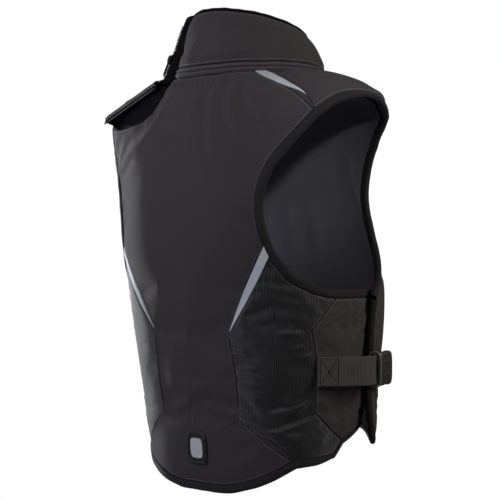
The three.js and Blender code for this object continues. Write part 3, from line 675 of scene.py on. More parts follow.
def useGroup(shading, key, **values):
    made = shading.node("ShaderNodeGroup")
    made.node_tree = groups[key]
    for label, value in values.items():
        made.inputs[label].default_value = value
    return made.outputs


def tinted(shading, colour, *factors):
    factor = factors[0]
    for more in factors[1:]:
        factor = shading.math("MULTIPLY", factor, more)
    made = shading.node("ShaderNodeMix", data_type="RGBA", blend_type="MULTIPLY")
    made.inputs["Factor"].default_value = 1.0
    made.inputs[6].default_value = (*colour, 1)
    combine = shading.node("ShaderNodeCombineColor")
    for socket in combine.inputs[:3]:
        shading.feed(socket, factor)
    shading.feed(made.inputs[7], combine.outputs[0])
    return made.outputs[2]


def bumped(shading, shader, height, depth):
    bump = shading.node("ShaderNodeBump")
    bump.inputs["Distance"].default_value = depth
    bump.inputs["Strength"].default_value = 1.0
    shading.feed(bump.inputs["Height"], height)
    shading.feed(shader.inputs["Normal"], bump.outputs[0])


# Roughness that swings about its middle with the rubbed patches
def rubbed(shading, shader, tone, middle, swing):
    rough = shading.math("MULTIPLY_ADD", tone["Rub"], swing, middle - swing / 2)
    shading.feed(shader.inputs["Roughness"], rough)


# Cloth finishes: colour, weave and ribs, each with what sets it apart from a plain cloth
plainCloth = dict(rough=0.80, sheen=0.02, gloss=0.2, threads=1000, weave=0.00016, tone=0.2)
clothFinish = dict(
    shell=dict(colour=(0.0330, 0.0290, 0.0305), rough=0.82, threads=900, weave=0.00018, tone=0.22),
    ribbed=dict(colour=(0.0052, 0.0050, 0.0050), rough=0.60, sheen=0.42, gloss=0.25, threads=700,
                weave=0.0001, pitch=0.0028, rib=0.0004),
    satin=dict(colour=(0.092, 0.089, 0.106), rough=0.70, threads=1500, weave=0.00006, tone=0.16),
    tape=dict(colour=(0.0042, 0.0040, 0.0042), sheen=0.0, gloss=0.06, weave=0.00014, tone=0.25, pitch=0.0016,
              rib=0.0001),
    # the armhole, front and hem finishes are one binding tape in three copies: the armhole and front copies
    # darkened, the front one browned, as painted shade, and the hem copy lightened as painted light
    band=dict(colour=(0.0068, 0.0062, 0.0063), gloss=0.25, tone=0.25),
    frontTapeShaded=dict(colour=(0.0095, 0.0074, 0.0066), sheen=0.0, gloss=0.12, tone=0.3),
    hem=dict(colour=(0.0140, 0.0128, 0.0130), gloss=0.22, tone=0.25),
    # the zip band's cloth is the shell lightened in part as painted light
    zipCoverLit=dict(colour=(0.0470, 0.0425, 0.0445), rough=0.78),
    webbing=dict(colour=(0.050, 0.043, 0.042), sheen=0.03, gloss=0.25, threads=900, pitch=0.0021,
                 rib=0.00042),
    # pale cord: pale in part as a painted highlight on the pad's rolled edge
    cord=dict(colour=(0.11, 0.108, 0.112), rough=0.6, sheen=0.05, gloss=0.3, threads=1200, weave=0.0001),
    thread=dict(colour=(0.115, 0.109, 0.111), rough=0.55, sheen=0.05, gloss=0.3, threads=2400, weave=0.00005),
    darkThread=dict(colour=(0.006, 0.006, 0.006), rough=0.6, sheen=0.0, threads=2400, weave=0.00005),
)


def clothMaterial(name):
    f = dict(plainCloth, **clothFinish[name])
    material, s, shader = newMaterial("vest " + name)
    weave = useGroup(s, "weave", Threads=f["threads"])
    tone = useGroup(s, "tone", Amount=f["tone"])
    # painted shade along each seam, from the seam group
    seam = useGroup(s, "seam")
    height = s.math("MULTIPLY", weave["Height"], f["weave"])
    factors = [weave["Tone"], tone["Tone"], seam["Shade"]]
    if "pitch" in f:
        ribs = useGroup(s, "ribs", Pitch=f["pitch"])
        height = s.math("ADD", height, s.math("MULTIPLY", ribs["Height"], f["rib"]))
        factors.append(ribs["Tone"])
    s.feed(shader.inputs["Base Color"], tinted(s, f["colour"], *factors))
    rubbed(s, shader, tone, f["rough"], 0.14)
    shader.inputs["Sheen Weight"].default_value = f["sheen"]
    shader.inputs["Sheen Roughness"].default_value = 0.45
    shader.inputs["Specular IOR Level"].default_value = f["gloss"]
    bumped(s, shader, height, 1.0)
    return material


cloths = {name: clothMaterial(name) for name in clothFinish}


# Retroreflective tape: silver beads and faint scuffs
def silverMaterial():
    material, s, shader = newMaterial("vest reflective")
    tone = useGroup(s, "tone", Scale=30.0, Amount=0.22)
    bead = s.node("ShaderNodeTexVoronoi")
    s.feed(bead.inputs["Vector"], s.place())
    bead.inputs["Scale"].default_value = 1500
    s.feed(shader.inputs["Base Color"], tinted(s, (0.48, 0.52, 0.55), tone["Tone"]))
    rubbed(s, shader, tone, 0.38, 0.2)
    shader.inputs["Metallic"].default_value = 0.25
    bumped(s, shader, s.math("MULTIPLY", bead.outputs["Distance"], 0.12), 0.0006)
    return material


# Moulded plastic and rubber: fine grain, convex edges lighter as rubbed wear and painted highlight
mouldFinish = dict(
    buckle=dict(colour=(0.018, 0.0158, 0.0128), rough=0.45, grain=1100, depth=0.00005),
    ring=dict(colour=(0.085, 0.079, 0.072), rough=0.40, grain=1100, depth=0.00004),
    zip=dict(colour=(0.006, 0.006, 0.0065), rough=0.6, grain=1500, depth=0.00003, gloss=0.12),
    # pale teeth: pale in part as a painted highlight on the zip chain
    toothPaleHighlit=dict(colour=(0.16, 0.16, 0.165), rough=0.4, grain=1500, depth=0.00003, edgeWearAndHighlight=1.0),
    patch=dict(colour=(0.010, 0.010, 0.0105), rough=0.5, grain=900, depth=0.00006),
    field=dict(colour=(0.42, 0.43, 0.44), rough=0.42, grain=900, depth=0.00005),
)


def mouldMaterial(name):
    f = mouldFinish[name]
    material, s, shader = newMaterial("vest " + name)
    tone = useGroup(s, "tone", Scale=25.0, Amount=0.2)
    grain = s.noise(s.place(), f["grain"], 2.0)
    point = s.node("ShaderNodeNewGeometry").outputs["Pointiness"]
    # convex edges lightened: partly wear, partly a painted highlight where edges catch the light
    wornAndLitEdge = s.remap(point, 0.52, 0.62, 1.0, f.get("edgeWearAndHighlight", 2.4))
    s.feed(shader.inputs["Base Color"], tinted(s, f["colour"], tone["Tone"], wornAndLitEdge))
    rubbed(s, shader, tone, f["rough"], 0.16)
    shader.inputs["Specular IOR Level"].default_value = f.get("gloss", 0.5)
    bumped(s, shader, s.math("MULTIPLY", grain, f["depth"]), 1.0)
    return material


moulds = {name: mouldMaterial(name) for name in mouldFinish}
silver = silverMaterial()


def metalMaterial():
    material, s, shader = newMaterial("vest slider metal")
    tone = useGroup(s, "tone", Scale=60.0, Amount=0.3)
    s.feed(shader.inputs["Base Color"], tinted(s, (0.009, 0.009, 0.0095), tone["Tone"]))
    rubbed(s, shader, tone, 0.505, 0.25)
    shader.inputs["Metallic"].default_value = 0.3
    shader.inputs["Specular IOR Level"].default_value = 0.15
    bumped(s, shader, s.math("MULTIPLY", tone["Rub"], 0.00004), 1.0)
    return material


metal = metalMaterial()
print("vest: finishes ready")

# Panels of padded cloth

surfaces = {}         # finished outer faces, for what is sewn on them
wall = 5.0            # foam and cloth behind each seam line
heldRim = 1.0         # cloth this near its seam is held while it settles
ribRadius = 165.0     # ribs keep their pitch round a body of this radius


def frontLift(z):
    return sum(f["height"] * smooth(-z, f["start"], f["end"]) for f in frontLifts)


def noLift(z):
    return 0 * z


# How far in from the seam a panel's waves, folds and gathers come up
comeUp = dict(waves=(0, 25), folds=(-3, 8), puckers=(0, 3))
swellEasing = 10


# Finishes a panel: form, swell, folds, settled cloth, closed wall
def paddedPanel(name, places, look, material, lift=noLift):
    turn, z = placeAt(places)
    normal = formNormal(turn, z)
    seam = rimDistance(places)
    rise = evened(look["swell"] * smooth(seam, 0, look["roll"]), swellEasing)
    waves = look["waves"] * ripple(places, look["waveSize"], look["seed"])
    rise = rise + waves * smooth(seam, *comeUp["waves"])
    rise = rise + foldHeight(places, look["folds"], look["axes"]) * smooth(seam, *comeUp["folds"])
    cloth = settle(places + normal * (lift(z) + rise)[..., None], seam < heldRim, look)
    share = look.get("fine", 2)
    outer = finer(cloth, share)
    if "puckers" in look:
        rise = foldHeight(outer, look["puckers"], look["axes"])
        rise = rise * smooth(seamDistance(outer), *comeUp["puckers"])
        outer = outer + outwardNormals(outer) * rise[..., None]
    outer, inner = rolledWall(outer, finer(places + normal * (lift(z) - wall)[..., None], share))
    uv = None
    if look.get("upright"):
        uv = np.stack([np.arctan2(outer[..., 0], outer[..., 1]) * ribRadius, outer[..., 2]], -1)
    piece = wallPiece(name, outer, inner, [cloths[material], cloths["satin"]], uv)
    surfaces[name] = outer
    print("vest:", name, "done")
    return piece


# The left shoulder is unzipped: the back's edge has slumped and the shoulder pad stands up off it
flap = dict(
    tip=(185, 99, -43), neck=(86, 89, 2), thick=(-2.8, -2.9, 11.5), sight=(0.695, 0.719, 0), below=1.5,
    swell=2.1, waveSize=60, seed=17, calm=20, roll=1.6,
)
neckBackLeft = trace(backRow((0, 10.5), (22, 11), (44, 11.6)), 4)
slumpedSeam = trace(
    sideRow((71, -43))
    + backRow((152, -52), (120, -51), (91, -47), (66, -40), (54, -30), (47, -17), (44, 11.6)),
    yokeSteps,
)


def backPanel():
    look = dict(
        swell=4.5, roll=75, waves=0.4, waveSize=190, seed=3, growth=0.003, pressure=0.8, cap=2.5, fill=0.7,
        axes=[0, 2], fine=3, easing=60,
        folds=[
            dict(a=(30, -20), b=(100, -96), width=7, height=1.3, bow=6),
            dict(a=(62, -48), b=(150, -120), width=8, height=1.4, bow=5),
            dict(a=(36, 6), b=(44, -48), width=6, height=0.5),
            dict(a=(10, 6), b=(14, -44), width=6, height=0.4),
            dict(a=(-20, 6), b=(-28, -70), width=7, height=1.0),
            dict(a=(-52, 8), b=(-88, -120), width=8, height=2.4, bow=-6),
            dict(a=(-74, 8), b=(-128, -96), width=7, height=2.6, bow=-5),
            dict(a=(-98, -2), b=(-160, -70), width=7, height=2.2),
            dict(a=(118, -60), b=(176, -140), width=8, height=1.5, bow=6),
            dict(a=(150, -56), b=(188, -104), width=6, height=1.3),
            dict(a=(78, -432), b=(10, -420), width=6, height=1.3, bow=-4),
            dict(a=(72, -446), b=(30, -456), width=8, height=0.8),
            dict(a=(-76, -432), b=(-20, -420), width=6, height=1.4, bow=4),
            dict(a=(-20, -402), b=(30, -396), width=9, height=0.5),
            dict(a=(60, -470), b=(6, -492), width=9, height=0.6),
            dict(a=(-100, -486), b=(-50, -506), width=9, height=0.6),
        ],
        puckers=[
            dict(a=(75, -433), b=(36, -446), width=3, height=1.3),
            dict(a=(-75, -435), b=(-46, -450), width=3, height=1.5),
            dict(a=(-76, -428), b=(-58, -434), width=2.6, height=1.0),
        ] + gathered(40, step=-9, count=13, top=10, long=15, more=5, spread=1.07, width=2.4, height=0.8),
    )
    side = join(backSeam, armholeBack)
    leftTop = join(neckBackLeft, slumpedSeam[::-1])
    rightTop = mirrored(join(neckBack, yokeBackSeam[::-1]))
    places = patch(bothHalves(backHem), join(rightTop[::-1], leftTop), mirrored(side), side)
    places = toForm(evened(places, look["easing"]))
    dress(paddedPanel("back_panel_cloth", places, look, "shell"), "shell_fabric", "back_panel")


def frontPanel():
    look = dict(
        swell=7, roll=50, waves=0.7, waveSize=150, seed=5, growth=0.012, pressure=1.2, cap=5, fill=0.7,
        axes=[0, 2],
        folds=twinned([
            dict(a=(84, 0), b=(120, -110), width=10, height=2.0, bow=4),
            dict(a=(50, -10), b=(64, -90), width=8, height=1.4),
            dict(a=(120, -330), b=(60, -318), width=9, height=1.6),
            dict(a=(126, -408), b=(50, -420), width=10, height=1.8, bow=4),
        ], -1),
    )
    side = join(frontSide, armholeFront)
    top = join(neckFront[::-1], yokeFrontSeam[::-1])
    places = patch(bothHalves(frontHem), bothHalves(top), mirrored(side), side)
    piece = paddedPanel("front_panel_cloth", places, look, "shell", frontLift)
    dress(piece, "shell_fabric", "front_panel")
    return places


sidePlaces = patch(sideHem, armholeUnder, sideSeam, wingSeam)
wingPlaces = patch(wingHem, wingTop, wingSeam, wingFront)
yokePlaces = patch(armholeCap, neckSide, yokeBackEdge, yokeFrontSeam)


# Short gathers along the back seam, steeper towards the waist
def seamGathers():
    look = dict(top=-338, low=-428, count=10, long=8.5, less=2.5, over=1, steep=(3, 12), width=2.3,
                height=1.7)
    rows = []
    for k in range(look["count"]):
        share = k / (look["count"] - 1)
        high = mix(look["top"], look["low"], share)
        spot = np.array([np.interp(high, sideSeam[:, 2], sideSeam[:, 1]) + look["over"], high])
        way = np.array([look["long"] - look["less"] * (k % 2), mix(*look["steep"], share)])
        rows.append(dict(a=spot, b=spot - way, width=look["width"], height=look["height"]))
    return rows


# Both sides share a table of folds read from the side; the left one is drawn tighter
def sidePanels():
    look = dict(
        swell=2, roll=18, waves=0.35, waveSize=90, seed=7, growth=0.013, pressure=0.6, cap=3, fill=0.5,
        axes=[1, 2], upright=True, fine=4,
        folds=[
            dict(a=(97, -246), b=(50, -284), width=4, height=1.3, bow=3),
            dict(a=(95, -262), b=(44, -294), width=4, height=1.5, bow=3),
            dict(a=(91, -280), b=(34, -300), width=4.5, height=1.2, bow=2),
            dict(a=(86, -302), b=(48, -312), width=4.5, height=0.8),
            dict(a=(84, -446), b=(26, -462), width=6, height=1.1, bow=-4),
            dict(a=(60, -470), b=(10, -476), width=6, height=0.9),
        ],
        puckers=[
            dict(a=(48, -323), b=(86, -326), width=3.2, height=1.4),
            dict(a=(44, -338), b=(70, -346), width=3, height=1.3),
            dict(a=(40, -352), b=(62, -358), width=3, height=1.0),
            dict(a=(34, -411), b=(80, -430), width=3.2, height=2.0, bow=2),
            dict(a=(31, -432), b=(84, -458), width=3.6, height=2.3, bow=2),
        ] + seamGathers(),
    )
    for side, slack in (("left", 0.3), ("right", 1.0)):
        own = dict(look, growth=look["growth"] * slack ** 2, waves=look["waves"] * slack)
        for key in ("folds", "puckers"):
            own[key] = [dict(f, height=f["height"] * slack) for f in look[key]]
        piece = paddedPanel("side_panel_cloth_" + side, sidePlaces * halves[side], own, "ribbed")
        dress(piece, "ribbed_fabric", "side_panel_" + side)


def wings():
    look = dict(
        swell=2.4, roll=18, waves=0.4, waveSize=80, seed=11, growth=0.012, pressure=0.8, cap=4, fill=0.5,
        axes=[1, 2], fine=4,
        folds=[
            dict(a=(-8, -280), b=(-4, -340), width=4.5, height=2.2),
            dict(a=(-26, -280), b=(-22, -348), width=4.5, height=2.8, bow=2),
            dict(a=(-44, -280), b=(-42, -350), width=4, height=2.6, bow=-2),
            dict(a=(-10, -394), b=(-20, -454), width=8, height=1.6, bow=2),
            dict(a=(-34, -394), b=(-40, -450), width=8, height=1.6),
            dict(a=(30, -412), b=(0, -420), width=6, height=0.9),
        ],
        puckers=gathered(2, step=-6.2, count=11, top=-281, long=13, more=4, lean=-1, width=1.8, height=0.9),
    )
    for side, flip in halves.items():
        piece = paddedPanel("side_wing_cloth_" + side, wingPlaces * flip, look, "shell")
        dress(piece, "shell_fabric", "side_wing_" + side)


yokeLook = dict(
    swell=6, roll=22, waves=0.4, waveSize=70, seed=13, growth=0.012, pressure=1.0, cap=4, fill=0.7,
    axes=[0, 1],
    folds=[
        dict(a=(-110, 50), b=(-150, 20), width=9, height=1.2),
        dict(a=(-150, 56), b=(-184, 30), width=8, height=1.3),
    ],
)


def rightYoke():
    piece = paddedPanel("shoulder_yoke_cloth_right", mirrored(yokePlaces), yokeLook, "shell")
    dress(piece, "shell_fabric", "shoulder_yoke_right")


# Low and high edge of the raised pad at shares of the way from the arm to the neck
def flapEdge(share):
    low = mix(np.array(flap["tip"], float), np.array(flap["neck"], float), np.asarray(share)[..., None])
    return low, low + np.array(flap["thick"])


def flapShift(edge, target):
    reach = np.linspace(1, 0, yokePlaces.shape[1])
    return (target - edge)[:, None] * smooth(reach, 0.0, 1.0)[None, :, None]


def leftYoke():
    turn, z = placeAt(yokePlaces)
    normal = formNormal(turn, z)
    seam = seamDistance(yokePlaces)
    rise = flap["swell"] * smooth(seam, 0, yokeLook["roll"])
    waves = ripple(yokePlaces, flap["waveSize"], flap["seed"])
    rise = rise + yokeLook["waves"] * waves * smooth(seam, 0, flap["calm"])
    upper = yokePlaces + normal * rise[..., None]
    lower = yokePlaces - normal * wall
    edgeLow, edgeHigh = flapEdge(np.linspace(0, 1, len(upper)))
    upper = upper + flapShift(upper[:, 0], edgeHigh)
    lower = lower + flapShift(lower[:, 0], edgeLow)
    surfaces["flapUnder"] = lower
    # behind its raised edge the pad stays lower than the edge
    line = edgeHigh @ flap["sight"]
    limit = np.interp(upper @ flap["sight"], line[::-1], edgeHigh[::-1, 2])
    upper[:, 1:, 2] = np.minimum(upper[:, 1:, 2], limit[:, 1:] - flap["below"])
    cloth = settle(upper, seam < heldRim, yokeLook)
    outer, inner = rolledWall(finer(cloth), finer(lower), flap["roll"])
    piece = wallPiece("shoulder_yoke_cloth_left", outer, inner, [cloths["shell"], cloths["satin"]])
    dress(piece, "shell_fabric", "shoulder_yoke_left")
    surfaces["shoulder_yoke_cloth_left"] = outer
    print("vest: left shoulder flap done")


# A flap of black tape behind the open shoulder zip, from under the raised pad down inside the back; its black
# stands in part for the shade in the hollow under the pad, as painted shade
def zipUnderlap():
    look = dict(
        flat=(0.32, 0.06), rows=10, headAt=0.35, tuck=7, drop=4, sewnIn=3.2, deep=9, sag=0.3, endSlack=0.15,
        thick=1.6, arm=20, neck=14,
    )
    low, high = flapEdge(np.linspace(0.0, 1.0, len(slumpedSeam)))
    under = surfaces["flapUnder"]

    def sewn(run):
        return run - formNormal(*placeAt(run)) * look["sewnIn"]

    foot = sewn(slumpedSeam) - np.array([0, 0, look["drop"]])
    head = mix(low, high, look["headAt"]) - np.array([0, look["tuck"], 0])
    # at the arm it goes on between the pad and the tape, at the neck between the pad and the collar
    arm = slice(look["arm"], 0, -1)
    neckEnd = slice(1, look["neck"] + 1)
    head = np.vstack([under[0, arm], head, under[-1, neckEnd]])
    foot = np.vstack([sewn(armholeCap[arm]), foot, sewn(neckSide[neckEnd])])
    slack = np.full(len(head), look["endSlack"])
    slack[look["arm"]:-look["neck"]] = 1
    share = np.linspace(0, 1, look["rows"])[:, None, None]
    sink = look["deep"] * np.array([0, -1, -look["sag"]])
    face = finer(mix(head[None], foot[None], share) + sink * np.sin(math.pi * share) * slack[None, :, None])
    behind = face - outwardNormals(face) * look["thick"]
    piece = wallPiece("shoulder_zip_underlap_and_shade_left", face, behind, [cloths["tape"]] * 2, seam=noSeam)
    dress(piece, "edge_tape")


backPanel()
frontPlaces = frontPanel()
sidePanels()
wings()
rightYoke()
leftYoke()
zipUnderlap()


# Lining behind the front, seen through the armholes
def frontLining():
    look = dict(flat=(0.52, 0.50), depth=wall + 0.8, thick=1.5, waves=0.7, waveSize=120, seed=19, calm=18)
    turn, z = placeAt(frontPlaces)
    normal = formNormal(turn, z)
    folds = twinned([
        dict(a=(-150, -120), b=(-168, -215), width=5, height=4.6, bow=5),
        dict(a=(-134, -110), b=(-160, -200), width=5, height=4.0, bow=5),
        dict(a=(-164, -150), b=(-172, -240), width=4, height=3.4),
        dict(a=(-116, -90), b=(-140, -150), width=7, height=1.6),
        dict(a=(-60, -200), b=(-70, -320), width=12, height=1.4),
        dict(a=(-110, -210), b=(-118, -330), width=10, height=1.4),
        dict(a=(-20, -120), b=(-30, -260), width=14, height=1.2),
    ], 1)
    waves = look["waves"] * ripple(frontPlaces, look["waveSize"], look["seed"])
    sink = foldHeight(frontPlaces, folds, [0, 2]) + waves
    sink = np.abs(sink * smooth(seamDistance(frontPlaces), 0, look["calm"]))
    lift = frontLift(z) - look["depth"] - sink
    face = finer(frontPlaces + normal * (lift - look["thick"])[..., None])
    behind = finer(frontPlaces + normal * lift[..., None])
    piece = wallPiece("front_lining_cloth", face, behind, [cloths["satin"]] * 2)
    dress(piece, "lining_satin", "front_lining")


frontLining()
print("vest: lining done")


# Reflective wedges between two seams that start at one point; low and high are their edges across the gap
def wedgeGrid(near, far, start, low, high, rows=14, columns=7):
    t = np.linspace(0, 1, rows)
    spots = mix(start, len(near) - 1, t)
    edges = [readAt(spots, np.arange(len(run)), run) for run in (near, far)]
    across = mix(low(t)[:, None], high(t)[:, None], np.linspace(0, 1, columns)[None])
    return toForm(mix(edges[0][:, None], edges[1][:, None], across[..., None]))


# The raised pad carries its strip along its free edge, narrowing towards the arm
def flapStrip(shape):
    look = dict(start=0.4, inset=3, narrow=1.0, wide=10.0)
    grid = surfaces["shoulder_yoke_cloth_left"]
    normal = outwardNormals(grid)
    rows = np.linspace(look["start"], 1, shape[0]) * (grid.shape[0] - 1)
    share = np.linspace(0, 1, shape[1])
    points, ways = [], []
    for t, row in zip(np.linspace(0, 1, shape[0]), rows.astype(int)):
        far = lengthsAlong(grid[row])
        spots = look["inset"] + share * mix(look["narrow"], look["wide"], t)
        points.append(readAt(spots, far, grid[row]))
        ways.append(readAt(spots, far, normal[row]))
    return np.array(points), unit(np.array(ways))


def nearEdge(t):
    return 0 * t


def farEdge(t):
    return 0 * t + 1


# On the shoulder the tip turns off towards the arm
def tipLow(t):
    return (1 - t) ** 6


def tipHigh(t):
    return 0.78 + 0.22 * (1 - t) ** 12


wedges = [
    dict(name="waist_reflector_strip", node="waist_reflector", near=chestSeam, far=reflectorEdge, start=0.7,
         low=nearEdge, high=farEdge, rise=0.9),
    dict(name="shoulder_reflector_strip", node="shoulder_reflector", near=yokeBackSeam, far=yokeBackEdge,
         start=3.0, low=tipLow, high=tipHigh, rise=1.3),
    dict(name="shoulder_seam_cloth", near=yokeBackSeam, far=yokeBackEdge, start=0.5, low=nearEdge,
         high=farEdge, rise=0.1),
]


def reflectors():
    look = dict(waves=0.3, waveSize=34, seed=23, dip=0.4, flapDepth=0.6)
    for row in wedges:
        for side, flip in halves.items():
            silvered = "node" in row
            onFlap = side == "left" and row["near"] is yokeBackSeam
            if onFlap and not silvered:
                continue     # the open shoulder has no closed seam to fill
            places = wedgeGrid(row["near"], row["far"], row["start"], row["low"], row["high"]) * flip
            normal = formNormal(*placeAt(places))
            waves = look["waves"] * ripple(places, look["waveSize"], look["seed"])
            rise = row["rise"] + np.maximum(waves, -look["dip"])
            depth = wall
            if onFlap:
                places, normal = flapStrip(places.shape[:2])
                depth = look["flapDepth"]
            outer = finer(places + normal * rise[..., None])
            inner = finer(places - normal * depth)
            face = silver if silvered else cloths["shell"]
            piece = wallPiece(row["name"] + "_" + side, outer, inner, [face, cloths["satin"]], seam=noSeam)
            if silvered:
                dress(piece, "reflective_tape", row["node"] + "_" + side)
            else:
                dress(piece, "shell_fabric")


reflectors()
print("vest: reflective strips done")


# Edge tape folded round a panel's edge; side 1 puts it to the left of the run, seen from outside
binding = dict(
    cover=2.6, width=9.8, under=6.0, over=1.7, sides=18, corner=3.2, waves=0.35, waveSize=26, seed=29,
    bulge=0.4,
)
# Each tape's seam distance puts painted shade along its panel-side edge, where it tucks under the panel
shadeLineInset = 1.0     # the tape's shaded line lies this far inside its edge


def tapeRings(run, lifts, side, look, cover=None, width=None):
    turn, z = placeAt(run)
    normal = formNormal(turn, z)
    base = run + normal * np.asarray(lifts)[:, None]
    steps = unit(np.diff(base, axis=0))
    ahead = unit(np.vstack([steps[:1], steps[:-1] + steps[1:], steps[-1:]]))
    mitre = 1 / np.clip(np.sum(ahead * np.vstack([steps, steps[-1:]]), 1), 0.6, 1)
    outward = unit(np.cross(normal, ahead)) * side * mitre[:, None]
    inner = np.full(len(run), -look["cover"]) if cover is None else -np.asarray(cover)
    c, s = squircle(look["sides"], look["corner"])
    wobble = look["waves"] * ripple(base, look["waveSize"], look["seed"])
    outer = (look["width"] if width is None else np.asarray(width)) + wobble
    across = (outer + inner)[:, None] / 2 + (outer - inner)[:, None] / 2 * c[None]
    up = (look["over"] - look["under"]) / 2 + (look["over"] + look["under"]) / 2 * s
    rings = (base[:, None] + outward[:, None] * across[..., None]
             + normal[:, None] * (up[None] + look["bulge"] * wobble[:, None])[..., None])
    # the second result is the distance to that line of painted shade
    return rings, np.maximum(across - inner[:, None] - shadeLineInset, 0)


def armholeTapes():
    look = dict(binding, cover=1.5, waves=0.5, waveSize=20, wider=1.5)
    back = join(wingTop[::-1], armholeUnder[::-1], armholeBack, armholeCap)
    front = armholeFront[::-1][1:]
    run = np.vstack([back, front])
    lifts = np.concatenate([np.zeros(len(back)), frontLift(front[:, 2])])
    # the band is widest under the arm
    cover = look["cover"] + look["wider"] * smooth(-run[:, 2], 225, 268) * smooth(run[:, 1], 20, 60)
    rings, sewn = tapeRings(run, lifts, 1, look, cover)
    for side, flip in halves.items():
        piece = sweptPiece("armhole_binding_tape_" + side, rings * flip, [cloths["band"]], sewn)
        dress(piece, "edge_tape", "armhole_binding_" + side)


# The hem's tape narrows under the arm and again where the front panel covers it
def hemTape():
    look = dict(binding, sideWidth=6.0, frontWidth=2.4, frontCover=0.6)
    run = bothHalves(join(backHem, sideHem, wingHem, wingFront))
    width = mix(look["width"], look["sideWidth"], smooth(-run[:, 1], -30, 10))
    atFront = smooth(-run[:, 1], 92, 99)
    cover = mix(look["cover"], look["frontCover"], atFront)
    rings, sewn = tapeRings(run, np.zeros(len(run)), 1, look, cover, mix(width, look["frontWidth"], atFront))
    dress(sweptPiece("back_hem_binding_tape", rings, [cloths["hem"]], sewn), "edge_tape", "back_hem_binding")


# The front's tape is bumpy along its upright stretches and calm along the hem
def frontTape():
    look = dict(binding, waveSize=16, bumps=1.5, easing=3)
    run = bothHalves(join(frontHem, frontSide))
    for _ in range(look["easing"]):
        run[1:-1] = (run[:-2] + 2 * run[1:-1] + run[2:]) / 4
    upright = smooth(run[:, 2], -455, -430) * smooth(np.abs(run[:, 0]), 120, 150)
    look["waves"] = mix(look["waves"], look["bumps"], upright)
    rings, sewn = tapeRings(run, frontLift(run[:, 2]), -1, look)
    piece = sweptPiece("front_edge_binding_tape", rings, [cloths["frontTapeShaded"]], sewn)
    dress(piece, "edge_tape", "front_edge_binding")


armholeTapes()
hemTape()
frontTape()
print("vest: edge tapes done")

# Collar

collar = dict(
    wall=11, swell=3, axisY=-4, topRadius=79, topCentreY=-7, backTopZ=100, frontTopZ=62, columns=150, rows=18,
)
zipBand = dict(height=14, wall=8)
closure = dict(
    width=8, narrowing=0.7, shares=(0, 0.3, 0.55, 1.13), proud=(9, 7, 6.3, 12.5), tip=1.13, rounding=0.09,
    lap=7,
)
seamGap = 0.8


def neckLoop(steps=1200):
    back = neckBack[::fineness]
    rest = join(neckSide[::fineness], neckFront[::fineness])
    rightHalf = mirrored(np.vstack([back[1:], rest]))
    leftFront = rest[::-1][1:]
    return curveThrough(np.vstack([back[::-1], rightHalf, leftFront]), steps, closed=True)


neck = neckLoop()
neckLength = lengthsAlong(neck)[-1]


# Columns of the collar's outer face at shares of the way round: foot, top and the way out
def collarColumns(shares):
    place = np.asarray(shares) * (len(neck) - 1)
    foot = readAt(place, np.arange(len(neck)), neck)
    foot[..., 2] += seamGap
    out = unit(np.stack([foot[..., 0], foot[..., 1] - collar["axisY"], 0 * foot[..., 0]], -1))
    top = out * collar["topRadius"] + np.array([0, collar["topCentreY"], 0])
    top[..., 2] = mix(collar["backTopZ"], collar["frontTopZ"], (1 - out[..., 1]) / 2)
    return foot, top, out, np.linalg.norm(top - foot, axis=-1)


# Beside the closing strip the cloth is drawn in, more at the foot than at the top
pinch = dict(foot=10, top=4.2, waist=9.5, reach=46)


def pinchDepth(share):
    waist = np.sin(math.pi * np.clip(share, 0, 1)) ** 2
    return mix(pinch["foot"], pinch["top"], share) + pinch["waist"] * waist


def drawnIn(share):
    far = np.minimum(collarShares, 1 - collarShares) * neckLength
    return pinchDepth(share) * np.exp(-(far / pinch["reach"]) ** 2)


def onCollar(columns, height):
    foot, top, out, tall = columns
    share = height / tall
    swell = collar["swell"] * np.sin(math.pi * np.clip(share, 0, 1))
    return mix(foot, top, share[..., None]) + out * (swell - drawnIn(share))[..., None]


openShare = (closure["width"] / 2 + seamGap) / neckLength
collarShares = np.linspace(openShare, 1 - openShare, collar["columns"] + 1)


# A grid of the collar's outer face from a low level up to a high one, or to its top
def collarGrid(low, rows, high=None):
    columns = collarColumns(collarShares)
    tall = columns[3]
    levels = [mix(low, tall if high is None else high, i / rows) + 0 * tall for i in range(rows + 1)]
    return np.stack([onCollar(columns, level) for level in levels])


def collarNormals(places, middleZ):
    normal = gridNormals(places)
    away = places - np.array([0, collar["axisY"], middleZ])
    return normal * np.sign(np.sum(normal * away, -1))[..., None]


def collarShell():
    look = dict(
        gap=0.2, roll=16, swell=2.5, waves=0.5, waveSize=70, seed=31, calm=14, growth=0.012, pressure=0.7,
        cap=4, held=0.5, edge=1.8, middleZ=60,
        folds=[
            dict(a=(60, 30), b=(30, 84), width=8, height=1.6, bow=3),
            dict(a=(20, 28), b=(-10, 70), width=9, height=1.2),
            dict(a=(-40, 28), b=(-16, 80), width=8, height=1.2),
            dict(a=(-66, 26), b=(-50, 70), width=7, height=1.4),
        ],
    )
    places = collarGrid(zipBand["height"] + look["gap"], collar["rows"])
    normal = collarNormals(places, look["middleZ"])
    seam = seamDistance(places)
    rise = look["swell"] * smooth(seam, 0, look["roll"])
    waves = look["waves"] * ripple(places, look["waveSize"], look["seed"])
    rise = rise + waves * smooth(seam, 0, look["calm"])
    rise = rise + foldHeight(places, look["folds"], [0, 2]) * (places[..., 1] > 0) * smooth(seam, -2, 8)
    outer = finer(settle(places + normal * rise[..., None], seam < look["held"], look))
    outer, inner = rolledWall(outer, finer(places - normal * collar["wall"]), look["edge"])
    piece = wallPiece("collar_cloth", outer, inner, [cloths["shell"], cloths["satin"]])
    surfaces["collar_cloth"] = outer
    dress(piece, "shell_fabric", "collar")
